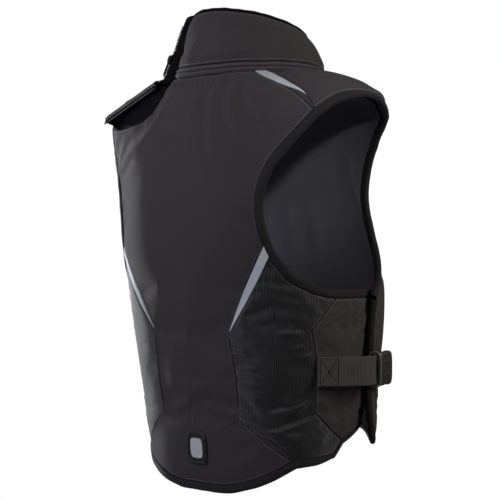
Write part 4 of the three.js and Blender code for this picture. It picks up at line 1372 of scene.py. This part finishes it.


# The band over the zip: a crowned strip with two ridges and a groove between them, the groove darkened with
# painted shade
def collarBand():
    look = dict(rows=16, below=0.6, crown=1.6, ridge=1.5, ridges=(0.28, 0.72), ridgeWide=0.12, waves=0.25,
                waveSize=30, seed=37, sunk=0.6, grooveLeast=0.6, edge=2.0, edgeReach=2.4, middleZ=10)
    places = collarGrid(-look["below"], look["rows"], zipBand["height"])
    normal = collarNormals(places, look["middleZ"])
    t = np.linspace(0, 1, look["rows"] + 1)[:, None]
    rise = look["crown"] * np.sqrt(np.clip(1 - (2 * t - 1) ** 2, 0, 1)) - look["sunk"]
    for spot in look["ridges"]:
        rise = rise + look["ridge"] * np.exp(-((t - spot) / look["ridgeWide"]) ** 2)
    rise = rise + look["waves"] * ripple(places, look["waveSize"], look["seed"])
    inner = places - normal * zipBand["wall"]
    outer, inner = rolledWall(places + normal * rise[..., None], inner, look["edge"], look["edgeReach"])
    along = gridLengths(outer)[1]
    # the middle groove and the band's rims get painted shade through the seam distance
    groove = np.abs(along / along[-1:] - 0.5) * zipBand["height"] + look["grooveLeast"]
    shade = np.minimum(seamDistance(outer), groove)
    materials = [cloths["zipCoverLit"], cloths["satin"]]
    piece = wallPiece("collar_zip_band_cloth", outer, inner, materials, seam=shade)
    dress(piece, "shell_fabric", "collar_zip_band")


def collarTape():
    look = dict(height=6.2, overhang=0.8, sides=14, corner=3, down=2.4, waves=0.3, waveSize=24, seed=41)
    columns = collarColumns(collarShares)
    c, s = squircle(look["sides"], look["corner"])
    across = -collar["wall"] / 2 + (collar["wall"] / 2 + look["overhang"]) * c
    up = look["height"] / 2 * (1 + s) - look["down"]
    tops = onCollar(columns, columns[3])
    uneven = look["waves"] * ripple(tops, look["waveSize"], look["seed"])
    rings = tops[:, None] + columns[2][:, None] * across[None, :, None]
    rings[..., 2] += up[None] + uneven[:, None]
    dress(sweptPiece("collar_top_binding_tape", rings, [cloths["tape"]]), "edge_tape", "collar_top_binding")


collarShell()
collarBand()
collarTape()
print("vest: collar done")

# Closing strip of the collar with its zip chain and slider

stripFoot, stripTop, stripOut, _ = (values[0] for values in collarColumns(np.array([0.0])))


# Spots of the strip at a share of its height, out from the collar and to the side
def stripPoint(share, across, side=0.0):
    swell = collar["swell"] * math.sin(math.pi * min(max(share, 0), 1))
    around = np.array([stripOut[1], -stripOut[0], 0])
    far = np.asarray(swell + across)[..., None]
    return mix(stripFoot, stripTop, share) + stripOut * far + around * np.asarray(side)[..., None]


def stripProud(share):
    return float(np.interp(share, closure["shares"], closure["proud"]))


def closingStrip():
    look = dict(rings=48, sides=24, corner=3, freeFrom=0.96, freeBy=1.03, freeDeep=4.0, tipCut=0.45,
                topShare=0.84, waves=((0.35, 46), (0.25, 91)))
    c, s = squircle(look["sides"], look["corner"])
    rings = []
    for share in np.linspace(0, closure["tip"], look["rings"]):
        onHeight = min(share, 1)
        end = max(0, share - closure["tip"] + closure["rounding"]) / closure["rounding"]
        free = float(smooth(share, look["freeFrom"], look["freeBy"]))     # above the collar it is a free end
        deep = pinchDepth(share)
        inside = mix(deep + closure["lap"], look["freeDeep"], free)
        proud = stripProud(share)
        proud = proud - (proud + inside) * look["tipCut"] * (1 - math.sqrt(1 - end ** 2))
        half = closure["width"] / 2 * mix(1, closure["narrowing"], onHeight)
        # between the collar's edges the strip is wide enough to meet both
        meet = (closure["width"] / 2 + 2 * seamGap) * mix(1, look["topShare"], onHeight)
        wave = sum(height * math.sin(share * turns) for height, turns in look["waves"])
        across = (proud - inside) / 2 + (proud + inside) / 2 * c + wave * (c > 0)
        wide = mix(half, mix(meet, half, free), smooth(-across, deep - 4, deep - 1))
        rings.append(stripPoint(share, across, wide * s))
    dress(sweptPiece("collar_closure_tape", rings, [cloths["tape"]]), "edge_tape", "collar_closure")


# A block with its edges taken off by a share of its size
def boxBlock(centre, x, y, z, size, soft=0.3):
    rings = []
    for wide, deep in ((1 - soft, -1), (1, soft - 1), (1, 1 - soft), (1 - soft, 1)):
        rings.append([centre + (x * size[0] * a * wide + y * size[1] * b * wide + z * size[2] * deep) / 2
                      for a, b in ((-1, -1), (1, -1), (1, 1), (-1, 1))])
    return sweepFaces(np.array(rings))


# Zip teeth set alternately along a path; up is the way the teeth face
def zipChain(name, path, up, tooth, finish="zip", fill=0.7):
    path = np.asarray(path)
    count = int(lengthsAlong(path)[-1] / tooth["pitch"])
    spots = evenly(path, count)
    ahead = unit(np.gradient(spots, axis=0))
    ups = unit(evenly(np.asarray(up), count))
    side = unit(np.cross(ahead, ups))
    size = (tooth["pitch"] * fill, tooth["width"], tooth["height"])
    teeth = []
    for k in range(count):
        shift = side[k] * tooth["offset"] * (1 if k % 2 else -1)
        teeth.append(boxBlock(spots[k] + shift + ups[k] * tooth["stand"], ahead[k], side[k], ups[k], size))
    dress(joined(name, teeth, [moulds[finish]]), "slider_metal")


def slider():
    look = dict(at=0.36, stand=2.0, body=(9, 13, 4.2), bridge=(4.5, 8, 2.6), bridgeUp=1.5, bridgeOut=2.2)
    pull = dict(turns=24, corner=4, half=(3.1, 11), eye=(1.5, 1.8), eyeDown=6.2, thick=1.6, down=12.5,
                out=0.6)
    centre = stripPoint(look["at"], stripProud(look["at"]) + look["stand"])
    up = unit(stripPoint(0.5, stripProud(0.5)) - stripPoint(0.2, stripProud(0.2)))
    side = unit(np.cross(up, stripOut))
    face = np.cross(side, up)
    bridge = centre + face * look["bridgeOut"] + up * look["bridgeUp"]
    parts = [boxBlock(centre, side, up, face, look["body"], 0.35),
             boxBlock(bridge, side, up, face, look["bridge"], 0.4)]
    # the pull: a flat tab with an eye, hanging from the bridge
    middle = centre - up * pull["down"] + face * pull["out"]
    rings = []
    angles = np.linspace(0, 2 * math.pi, pull["turns"], endpoint=False)
    for a, c, s in zip(angles, *squircle(pull["turns"], pull["corner"])):
        outer = middle + side * pull["half"][0] * c + up * pull["half"][1] * s
        eyeUp = pull["eye"][1] * math.sin(a) - pull["eyeDown"]
        inner = middle + side * pull["eye"][0] * math.cos(a) + up * eyeUp
        depth = face * pull["thick"] / 2
        rings.append([outer - depth, inner - depth, inner + depth, outer + depth])
    parts.append(sweepFaces(np.array(rings), closed=True))
    dress(joined("collar_zip_slider_metal", parts, [metal]), "slider_metal", "collar_zip_slider")


def stripZip():
    look = dict(start=0.04, end=0.97, steps=60, proud=0.2)
    tooth = dict(pitch=2.2, width=2.6, height=1.8, offset=1.1, stand=0.6)
    shares = np.linspace(look["start"], look["end"], look["steps"])
    path = [stripPoint(t, stripProud(t) + look["proud"]) for t in shares]
    zipChain("collar_closure_zip", path, np.tile(stripOut, (len(path), 1)), tooth)


closingStrip()
stripZip()
slider()


# The shoulder zip: tape and teeth on the raised pad's edge, a pale cord along its lower rim; the pale teeth
# and cord stand partly for highlights on the zip and the rolled edge, as painted highlight
def shoulderZip():
    look = dict(start=0.02, end=0.98, steps=60, at=0.6, tape=11, proud=0.6, cord=0.9, cordSides=8)
    tooth = dict(pitch=2.6, width=2.6, height=1.9, offset=1.2, stand=0.7)
    tab = dict(centre=(84, 70, 11.5), along=(0.7, 0.71, -0.2), across=(-0.72, 0.69, 0), up=(0.14, 0.14, 0.98),
               size=(18, 18, 8))
    low, high = flapEdge(np.linspace(look["start"], look["end"], look["steps"]))
    up = unit(high - low)
    ahead = unit(np.gradient(low, axis=0))
    out = unit(np.cross(ahead, up))
    out = out * np.sign(out[:, 1:2])
    middle = mix(low, high, look["at"])
    section = [(-0.5, 0.0), (-0.45, 0.9), (0.45, 0.9), (0.5, 0.0)]
    rings = [middle + up * look["tape"] * y + out * d for y, d in section]
    dress(sweptPiece("shoulder_zip_tape_left", np.stack(rings, 1), [cloths["tape"]]), "edge_tape")
    zipChain("shoulder_zip_left", middle + out * look["proud"], out, tooth, "toothPaleHighlit")
    rim = low + out * look["proud"]
    cord = [rim + (up * c + out * s) * look["cord"] for c, s in zip(*squircle(look["cordSides"], 2))]
    dress(sweptPiece("shoulder_zip_cord_left", np.stack(cord, 1), [cloths["cord"]]), "edge_tape")
    ways = [unit(np.array(tab[key], float)) for key in ("along", "across", "up")]
    end = boxBlock(np.array(tab["centre"]), *ways, tab["size"])
    dress(joined("shoulder_zip_tab_left", [end], [cloths["tape"]]), "edge_tape")


shoulderZip()
print("vest: zips done")

# Webbing and buckles, laid where the solids underneath lie


# Stations of a webbing band: middle points and the way out, from back to front
def bandStations(node):
    co = np.array([v.co for v in nodes[node].data.vertices]) / mm
    high = co[:, 2].max()
    rim = np.unique(np.round(co[co[:, 2] > high - 1][:, :2], 2), axis=0)
    order = rim[np.argsort(-rim[:, 1])]
    pairs = order.reshape(-1, 2, 2)
    reach = np.linalg.norm(pairs, axis=2)
    outer = np.where((reach[:, 0] > reach[:, 1])[:, None], pairs[:, 0], pairs[:, 1])
    inner = np.where((reach[:, 0] > reach[:, 1])[:, None], pairs[:, 1], pairs[:, 0])
    level = (high + co[:, 2].min()) / 2
    middle = np.column_stack([(outer + inner) / 2, np.full(len(outer), level)])
    return middle, np.column_stack([unit(outer - inner), np.zeros(len(outer))])


# The rim gives insets from the webbing's edge and the share of its thickness there
webbing = dict(
    width=38, thick=2.4, steps=90, dive=7.5, diveFrom=0.84, diveTo=0.99, curl=0.8, curls=9.0,
    rim=((0.0, 0.0), (0.5, 0.8), (1.6, 1.0)), flatIn=4, flatLines=7,
)


def webbingBand(name, node, dive=0.0):
    middle, out = bandStations(node)
    path = curveThrough(middle, webbing["steps"])
    t = np.linspace(0, 1, len(path))
    ways = unit(readAt(t, np.linspace(0, 1, len(out)), out))
    path = path - ways * (dive * smooth(t, webbing["diveFrom"], webbing["diveTo"]))[:, None]
    half, thick = webbing["width"] / 2, webbing["thick"] / 2
    rim = webbing["rim"]
    flat = half - webbing["flatIn"]
    section = [(inset - half, share) for inset, share in rim]
    section += [(y, 1.0) for y in np.linspace(-flat, flat, webbing["flatLines"])]
    section += [(half - inset, share) for inset, share in rim[::-1]]
    section += [(half - inset, -share) for inset, share in rim[1:]]
    section += [(inset - half, -share) for inset, share in rim[:0:-1]]
    y, d = np.array(section).T * np.array([[1], [thick]])
    curl = webbing["curl"] * np.sin(t * webbing["curls"])[:, None] * (y / half)[None] ** 2
    rings = path[:, None] + np.array([0, 0, 1.0]) * y[None, :, None] + ways[:, None] * (d + curl)[..., None]
    piece = sweptPiece(name, rings, [cloths["webbing"]], sharp=1.2)
    dress(piece, "webbing", node)
    return path, ways


# Threads: short stitches laid along a path on a surface
def stitchBlocks(path, normals, pitch=3.4, length=2.5, radius=0.42, stand=0.15, sides=6):
    count = max(int(lengthsAlong(path)[-1] / pitch), 1)
    spots = evenly(path, count)
    ups = unit(evenly(normals, count))
    ahead = unit(np.gradient(spots, axis=0))
    side = unit(np.cross(ups, ahead))
    t, wide = np.array([(-0.5, 0.15), (-0.3, 0.9), (0.3, 0.9), (0.5, 0.15)]).T[..., None, None]
    c, s = (row[None, :, None] for row in squircle(sides, 2))
    stitches = []
    for k in range(count):
        middle = (spots[k] + spots[k + 1]) / 2 + ups[k] * stand
        around = (side[k] * c + ups[k] * s) * radius * wide
        stitches.append(sweepFaces(middle + ahead[k] * length * t + around))
    return stitches


# Each webbing end is sewn down with a crossed box
def straps():
    look = dict(reach=17, strap=(3, 27), tab=(3, 24), steps=12)
    thread = dict(pitch=2.8, length=2.6, radius=0.55)
    y = look["reach"]
    stitches = []
    for side in halves:
        path, ways = webbingBand("side_strap_web_" + side, "side_strap_" + side, webbing["dive"])
        tabPath, tabWays = webbingBand("front_tab_web_" + side, "front_tab_" + side)
        for line, way, box in ((path, ways, look["strap"]), (tabPath[::-1], tabWays[::-1], look["tab"])):
            far = lengthsAlong(line)
            low, high = box
            runs = [((low, -y), (low, y)), ((high, -y), (high, y)), ((low, -y), (high, -y)),
                    ((low, y), (high, y)), ((low, -y), (high, y)), ((low, y), (high, -y))]
            for start, end in runs:
                along, level = np.linspace(start, end, look["steps"]).T
                ups = unit(readAt(along, far, way))
                points = readAt(along, far, line) + ups * webbing["thick"] / 2
                points[:, 2] += level
                stitches += stitchBlocks(points, ups, **thread)
    dress(joined("strap_stitches", stitches, [cloths["darkThread"]]), "webbing")


# Local frame of a buckle piece: x back along the strap, y up, z outwards
def pieceFrame(node, out):
    up = np.array([0, 0, 1.0])
    back = np.cross(up, out)
    back = back * np.sign(back[1])
    co = np.array([v.co for v in nodes[node].data.vertices]) / mm
    local = np.stack([co @ back, co @ up, co @ out], 1)
    low, high = local.min(0), local.max(0)
    centre = (low + high) / 2
    return back, up, out, back * centre[0] + up * centre[1] + out * centre[2], high - low


def oval(half, radius, turns):
    for a in np.linspace(0, 2 * math.pi, turns, endpoint=False):
        c, e = math.cos(a), math.sin(a)
        yield half * np.clip(e * 3, -1, 1) + radius * e, radius * c, e, c


# The tongue: a flared ring that the webbing runs into, with a flat stem behind it
def buckleTongue(side, out):
    look = dict(flare=18.0, ringLong=3.0, bar=1.7, turns=72, sides=12, corner=3)
    stem = dict(tall=30, thick=7.0, start=-0.5, end=0.42, rings=14, sides=32, corner=5, taper=0.25)
    back, up, out, centre, size = pieceFrame("buckle_tongue_" + side, out)
    rearEnd = centre + back * (size[0] - look["ringLong"]) / 2
    half = (size[1] - look["flare"]) / 2
    rings = []
    for y, z, e, c in oval(half, (look["flare"] - look["bar"]) / 2, look["turns"]):
        middle = rearEnd + up * y + out * z
        way = unit(up * e + out * c)
        rings.append([middle + way * look["bar"] / 2 * d + back * look["ringLong"] / 2 * f
                      for d, f in zip(*squircle(look["sides"], look["corner"]))])
    ringPart = sweepFaces(np.array(rings), closed=True)
    rings = []
    for t in np.linspace(stem["start"], stem["end"], stem["rings"]):
        middle = centre + back * size[0] * t
        tall = stem["tall"] / 2 * (1 - stem["taper"] * smooth(abs(t + 0.04), 0.36, 0.46))
        rings.append([middle + up * tall * y + out * stem["thick"] / 2 * z
                      for y, z in zip(*squircle(stem["sides"], stem["corner"]))])
    stemPart = sweepFaces(np.array(rings))
    slots = [0] * len(ringPart[1]) + [1] * len(stemPart[1])
    plastics = [moulds["ring"], moulds["zip"]]
    piece = joined("buckle_tongue_plastic_" + side, [ringPart, stemPart], plastics, slots, 1.0)
    dress(piece, "buckle_plastic", "buckle_tongue_" + side)


# The socket: a rounded block with a shallow waist, a sunk window and two finger slots
def buckleSocket(side, out):
    look = dict(round=0.26, sides=56, corner=4, rings=44, endTall=0.74, endDeep=0.45, faceFrom=0.3)
    waist = dict(deep=0.05, at=0.52, long=0.24)
    window = dict(deep=1.0, tall=0.17, at=0.5, long=0.26)
    slot = dict(deep=1.5, up=0.30, tall=1.3, at=0.45, long=0.34)
    back, up, out, centre, size = pieceFrame("buckle_socket_" + side, out)
    c, s = squircle(look["sides"], look["corner"])
    rings = []
    for t in np.concatenate([[0, 0.004, 0.012], np.linspace(0.03, 0.97, look["rings"]), [0.988, 0.996, 1]]):
        end = max(0, abs(2 * t - 1) - (1 - 2 * look["round"])) / (2 * look["round"])
        cap = math.sqrt(max(0, 1 - end ** 2))
        drawn = 1 - waist["deep"] * math.exp(-((t - waist["at"]) / waist["long"]) ** 2)
        y = size[1] / 2 * drawn * mix(look["endTall"], 1, cap) * c
        deep = size[2] / 2 * mix(look["endDeep"], 1, cap)
        sunk = window["deep"] * np.exp(-(y / (size[1] * window["tall"])) ** 6)
        sunk = sunk * math.exp(-((t - window["at"]) / window["long"]) ** 6)
        cut = slot["deep"] * np.exp(-((np.abs(y) - size[1] * slot["up"]) / slot["tall"]) ** 2)
        cut = cut * math.exp(-((t - slot["at"]) / slot["long"]) ** 8)
        z = deep * s
        z = z - (sunk + cut) * (z > look["faceFrom"] * deep)
        rings.append(centre + back * size[0] * (0.5 - t) + up * y[:, None] + out * z[:, None])
    piece = sweptPiece("buckle_socket_plastic_" + side, rings, [moulds["buckle"]], sharp=1.0)
    dress(piece, "buckle_plastic", "buckle_socket_" + side)


def buckles():
    for side in halves:
        _, ways = bandStations("side_strap_" + side)
        buckleTongue(side, ways[-1])
        buckleSocket(side, ways[-1])


straps()
buckles()
print("vest: straps and buckles done")


# Topstitching beside the seams of a panel
def edgePath(name, edge, distance, depth=12):
    grid = surfaces[name]
    both = np.concatenate([grid, outwardNormals(grid, 0)], -1)
    if edge in ("left", "right"):
        both = both.swapaxes(0, 1)
    if edge in ("top", "right"):
        both = both[::-1]
    strip = both[:depth].swapaxes(0, 1)
    path, ways = [], []
    for line in strip:
        far = lengthsAlong(line[:, :3])
        path.append(readAt(distance, far, line[:, :3]))
        ways.append(readAt(distance, far, line[:, 3:]))
    return np.array(path), unit(np.array(ways))


# Edges of each piece with a line of stitches, and how far in it runs
topstitch = dict(
    back_panel_cloth=dict(left=4.5, right=4.5, top=5.0, bottom=5.0),
    front_panel_cloth=dict(left=5.0, right=5.0, bottom=5.0),
    side_panel_cloth_left=dict(top=5.0),
    side_panel_cloth_right=dict(top=5.0),
    side_wing_cloth_left=dict(left=4.5, top=5.0),
    side_wing_cloth_right=dict(left=4.5, top=5.0),
    shoulder_yoke_cloth_right=dict(bottom=5.0),
    shoulder_yoke_cloth_left=dict(bottom=5.0),
    collar_cloth=dict(bottom=4.0, top=5.0),
)
threads = []
for name, edges in topstitch.items():
    for edge, distance in edges.items():
        threads += stitchBlocks(*edgePath(name, edge, distance))
dress(joined("seam_stitches", threads, [cloths["thread"]]), "edge_tape")
print("vest:", len(threads), "stitches")


# Blank rubber patch low on the back: raised rim, plain pale field
def badge():
    look = dict(z=-481, width=38, height=44, corner=4.5, stand=0.2, fieldRings=7, turns=72)
    height = dict(rim=2.6, floor=1.5, border=1.1, field=0.75)
    reach = dict(rim=0.94, border=(0.84, 0.88), field=(0.60, 0.64))
    grid = surfaces["back_panel_cloth"]
    quads = gridQuads(*grid.shape[:2])
    tree = BVHTree.FromPolygons([Vector(p) for p in grid.reshape(-1, 3)], quads.tolist())

    def under(x, z):
        return tree.ray_cast(Vector((x, 300, z)), Vector((0, -1, 0)))[0].y + look["stand"]

    def profile(r):
        past = max(0, (r - reach["rim"]) / (1 - reach["rim"]))
        rim = height["rim"] * math.sqrt(max(0, 1 - past ** 2))
        border = height["border"] * float(smooth(r, *reach["border"]))
        field = height["field"] * float(1 - smooth(r, *reach["field"]))
        return min(rim, height["floor"] + border + field)

    radii = [*np.linspace(0.06, 0.58, look["fieldRings"]), 0.60, 0.62, 0.64, 0.70, 0.78, 0.83, 0.85, 0.87,
             0.89, 0.92, 0.945, 0.965, 0.98, 0.99, 0.997, 1.0]
    turns = look["turns"]
    c, s = squircle(turns, look["corner"])
    points, faces, slots = [], [], []
    for r, proud in [(r, profile(r)) for r in radii] + [(1.0, 0)]:
        for x, z in zip(look["width"] / 2 * r * c, look["z"] + look["height"] / 2 * r * s):
            points.append([x, under(x, z) + proud, z])
    for i in range(len(radii)):
        for k in range(turns):
            q = (k + 1) % turns
            faces.append([i * turns + q, i * turns + k, (i + 1) * turns + k, (i + 1) * turns + q])
            slots.append(1 if i < look["fieldRings"] else 0)
    faces.append(list(range(turns)))
    faces.append([len(radii) * turns + k for k in range(turns)][::-1])
    slots += [1, 0]
    uv = np.array(points)[:, [0, 2]]
    rubbers = [moulds["patch"], moulds["field"]]
    piece = makeObject("back_badge_rubber", points, faces, rubbers, uv, slots=slots, sharp=0.7)
    dress(piece, "patch_rubber", "back_badge")


badge()
print("vest: patch done")

# Stage, light and camera

def addFloor():
    look = dict(z=-2.0, size=9.0, glow=0.72, rough=0.8)
    mesh = bpy.data.meshes.new("floor")
    edge = look["size"] / 2
    corners = [(x * edge, y * edge, look["z"]) for x, y in ((-1, -1), (1, -1), (1, 1), (-1, 1))]
    mesh.from_pydata(corners, [], [[0, 1, 2, 3]])
    floor = bpy.data.objects.new("floor", mesh)
    bpy.context.scene.collection.objects.link(floor)
    paint, s, shader = newMaterial("pale floor")
    shader.inputs["Base Color"].default_value = (0.86, 0.86, 0.86, 1)
    shader.inputs["Roughness"].default_value = look["rough"]
    shader.inputs["Emission Color"].default_value = (1, 1, 1, 1)
    seen = s.node("ShaderNodeLightPath").outputs["Is Camera Ray"]
    s.feed(shader.inputs["Emission Strength"], s.math("MULTIPLY", seen, look["glow"]))
    mesh.materials.append(paint)


addFloor()

view = dict(azimuth=226.0, distance=2.2, height=-0.2186, sideways=0.0055, lens=116.06)
turnRight = math.radians(view["azimuth"])
facing = Vector((math.sin(turnRight), -math.cos(turnRight), 0))
rightward = Vector((math.cos(turnRight), math.sin(turnRight), 0))

lightAim = (0, 0, -0.23)     # for lights without an aim of their own
lightTable = [
    dict(name="key", way=(-0.3, 1.0, 0.60), far=1.4, size=0.8, power=2.2, tint=(1.0, 0.95, 0.94)),
    dict(name="left_rim", way=(-0.68, -1.0, 0.10), far=2.2, size=0.5, power=2400, tint=(0.95, 0.97, 1.0),
         aim=(0.165, 0.03, -0.45), cone=9.5),
    dict(name="armhole", way=(0.10, 1.0, 0.20), far=2.0, size=0.10, power=205, tint=(0.97, 0.97, 1.0),
         aim=(-0.027, -0.115, -0.140), cone=4.8),
    dict(name="left_soft", way=(-1.0, 0.50, 0.40), far=1.0, size=0.8, power=7.0, tint=(0.82, 0.85, 1.0)),
    dict(name="right_soft", way=(1.0, 0.45, 0.45), far=1.3, size=0.8, power=10.5, tint=(1.0, 0.94, 0.92)),
    dict(name="top", way=(0.1, 0.45, 1.0), far=1.4, size=1.1, power=2.2, tint=(1.0, 0.96, 0.95)),
]


# A light's way is given in the camera's own terms: to the right, towards the camera, up
def addLights():
    for row in lightTable:
        x, y, z = row["way"]
        way = (rightward * x + facing * y + Vector((0, 0, z))).normalized()
        if "cone" in row:
            lamp = bpy.data.lights.new(row["name"], "SPOT")
            lamp.spot_size = math.radians(row["cone"])
            lamp.spot_blend = 1.0
            lamp.shadow_soft_size = row["size"]
        else:
            lamp = bpy.data.lights.new(row["name"], "AREA")
            lamp.shape = "DISK"
            lamp.size = row["size"]
        lamp.energy = row["power"]
        lamp.color = row["tint"]
        body = bpy.data.objects.new(row["name"], lamp)
        body.location = Vector(row.get("aim", lightAim)) + way * row["far"]
        body.visible_camera = False
        body.rotation_euler = (-way).to_track_quat("-Z", "Y").to_euler()
        bpy.context.scene.collection.objects.link(body)


# White to the camera; for light the sky is brighter than what lies below
def addWorld():
    look = dict(sky=0.14, ground=0.02, below=-0.25, above=0.35, seen=1.02)
    world = bpy.data.worlds.new("studio")
    world.use_nodes = True
    s = Shading(world.node_tree)
    plain = world.node_tree.nodes["Background"]
    plain.inputs["Color"].default_value = (1, 1, 1, 1)
    split = s.node("ShaderNodeSeparateXYZ")
    s.feed(split.inputs[0], s.node("ShaderNodeTexCoord").outputs["Generated"])
    glow = s.remap(split.outputs[2], look["below"], look["above"], look["ground"], look["sky"])
    seen = s.node("ShaderNodeLightPath").outputs["Is Camera Ray"]
    hidden = s.math("MULTIPLY", glow, s.math("SUBTRACT", 1.0, seen))
    s.feed(plain.inputs["Strength"], s.math("MULTIPLY_ADD", seen, look["seen"], hidden))
    bpy.context.scene.world = world


def addCamera():
    lens = bpy.data.cameras.new("photo view")
    lens.lens = view["lens"]
    lens.sensor_width = 36
    camera = bpy.data.objects.new("photo view", lens)
    camera.location = facing * view["distance"] + rightward * view["sideways"]
    camera.location.z += view["height"]
    camera.rotation_euler = (-facing).to_track_quat("-Z", "Y").to_euler()
    bpy.context.scene.collection.objects.link(camera)
    bpy.context.scene.camera = camera


addLights()
addWorld()
addCamera()
bpy.context.scene.view_settings.view_transform = "Standard"
bpy.context.scene.view_settings.look = "None"

print("vest: scene ready")
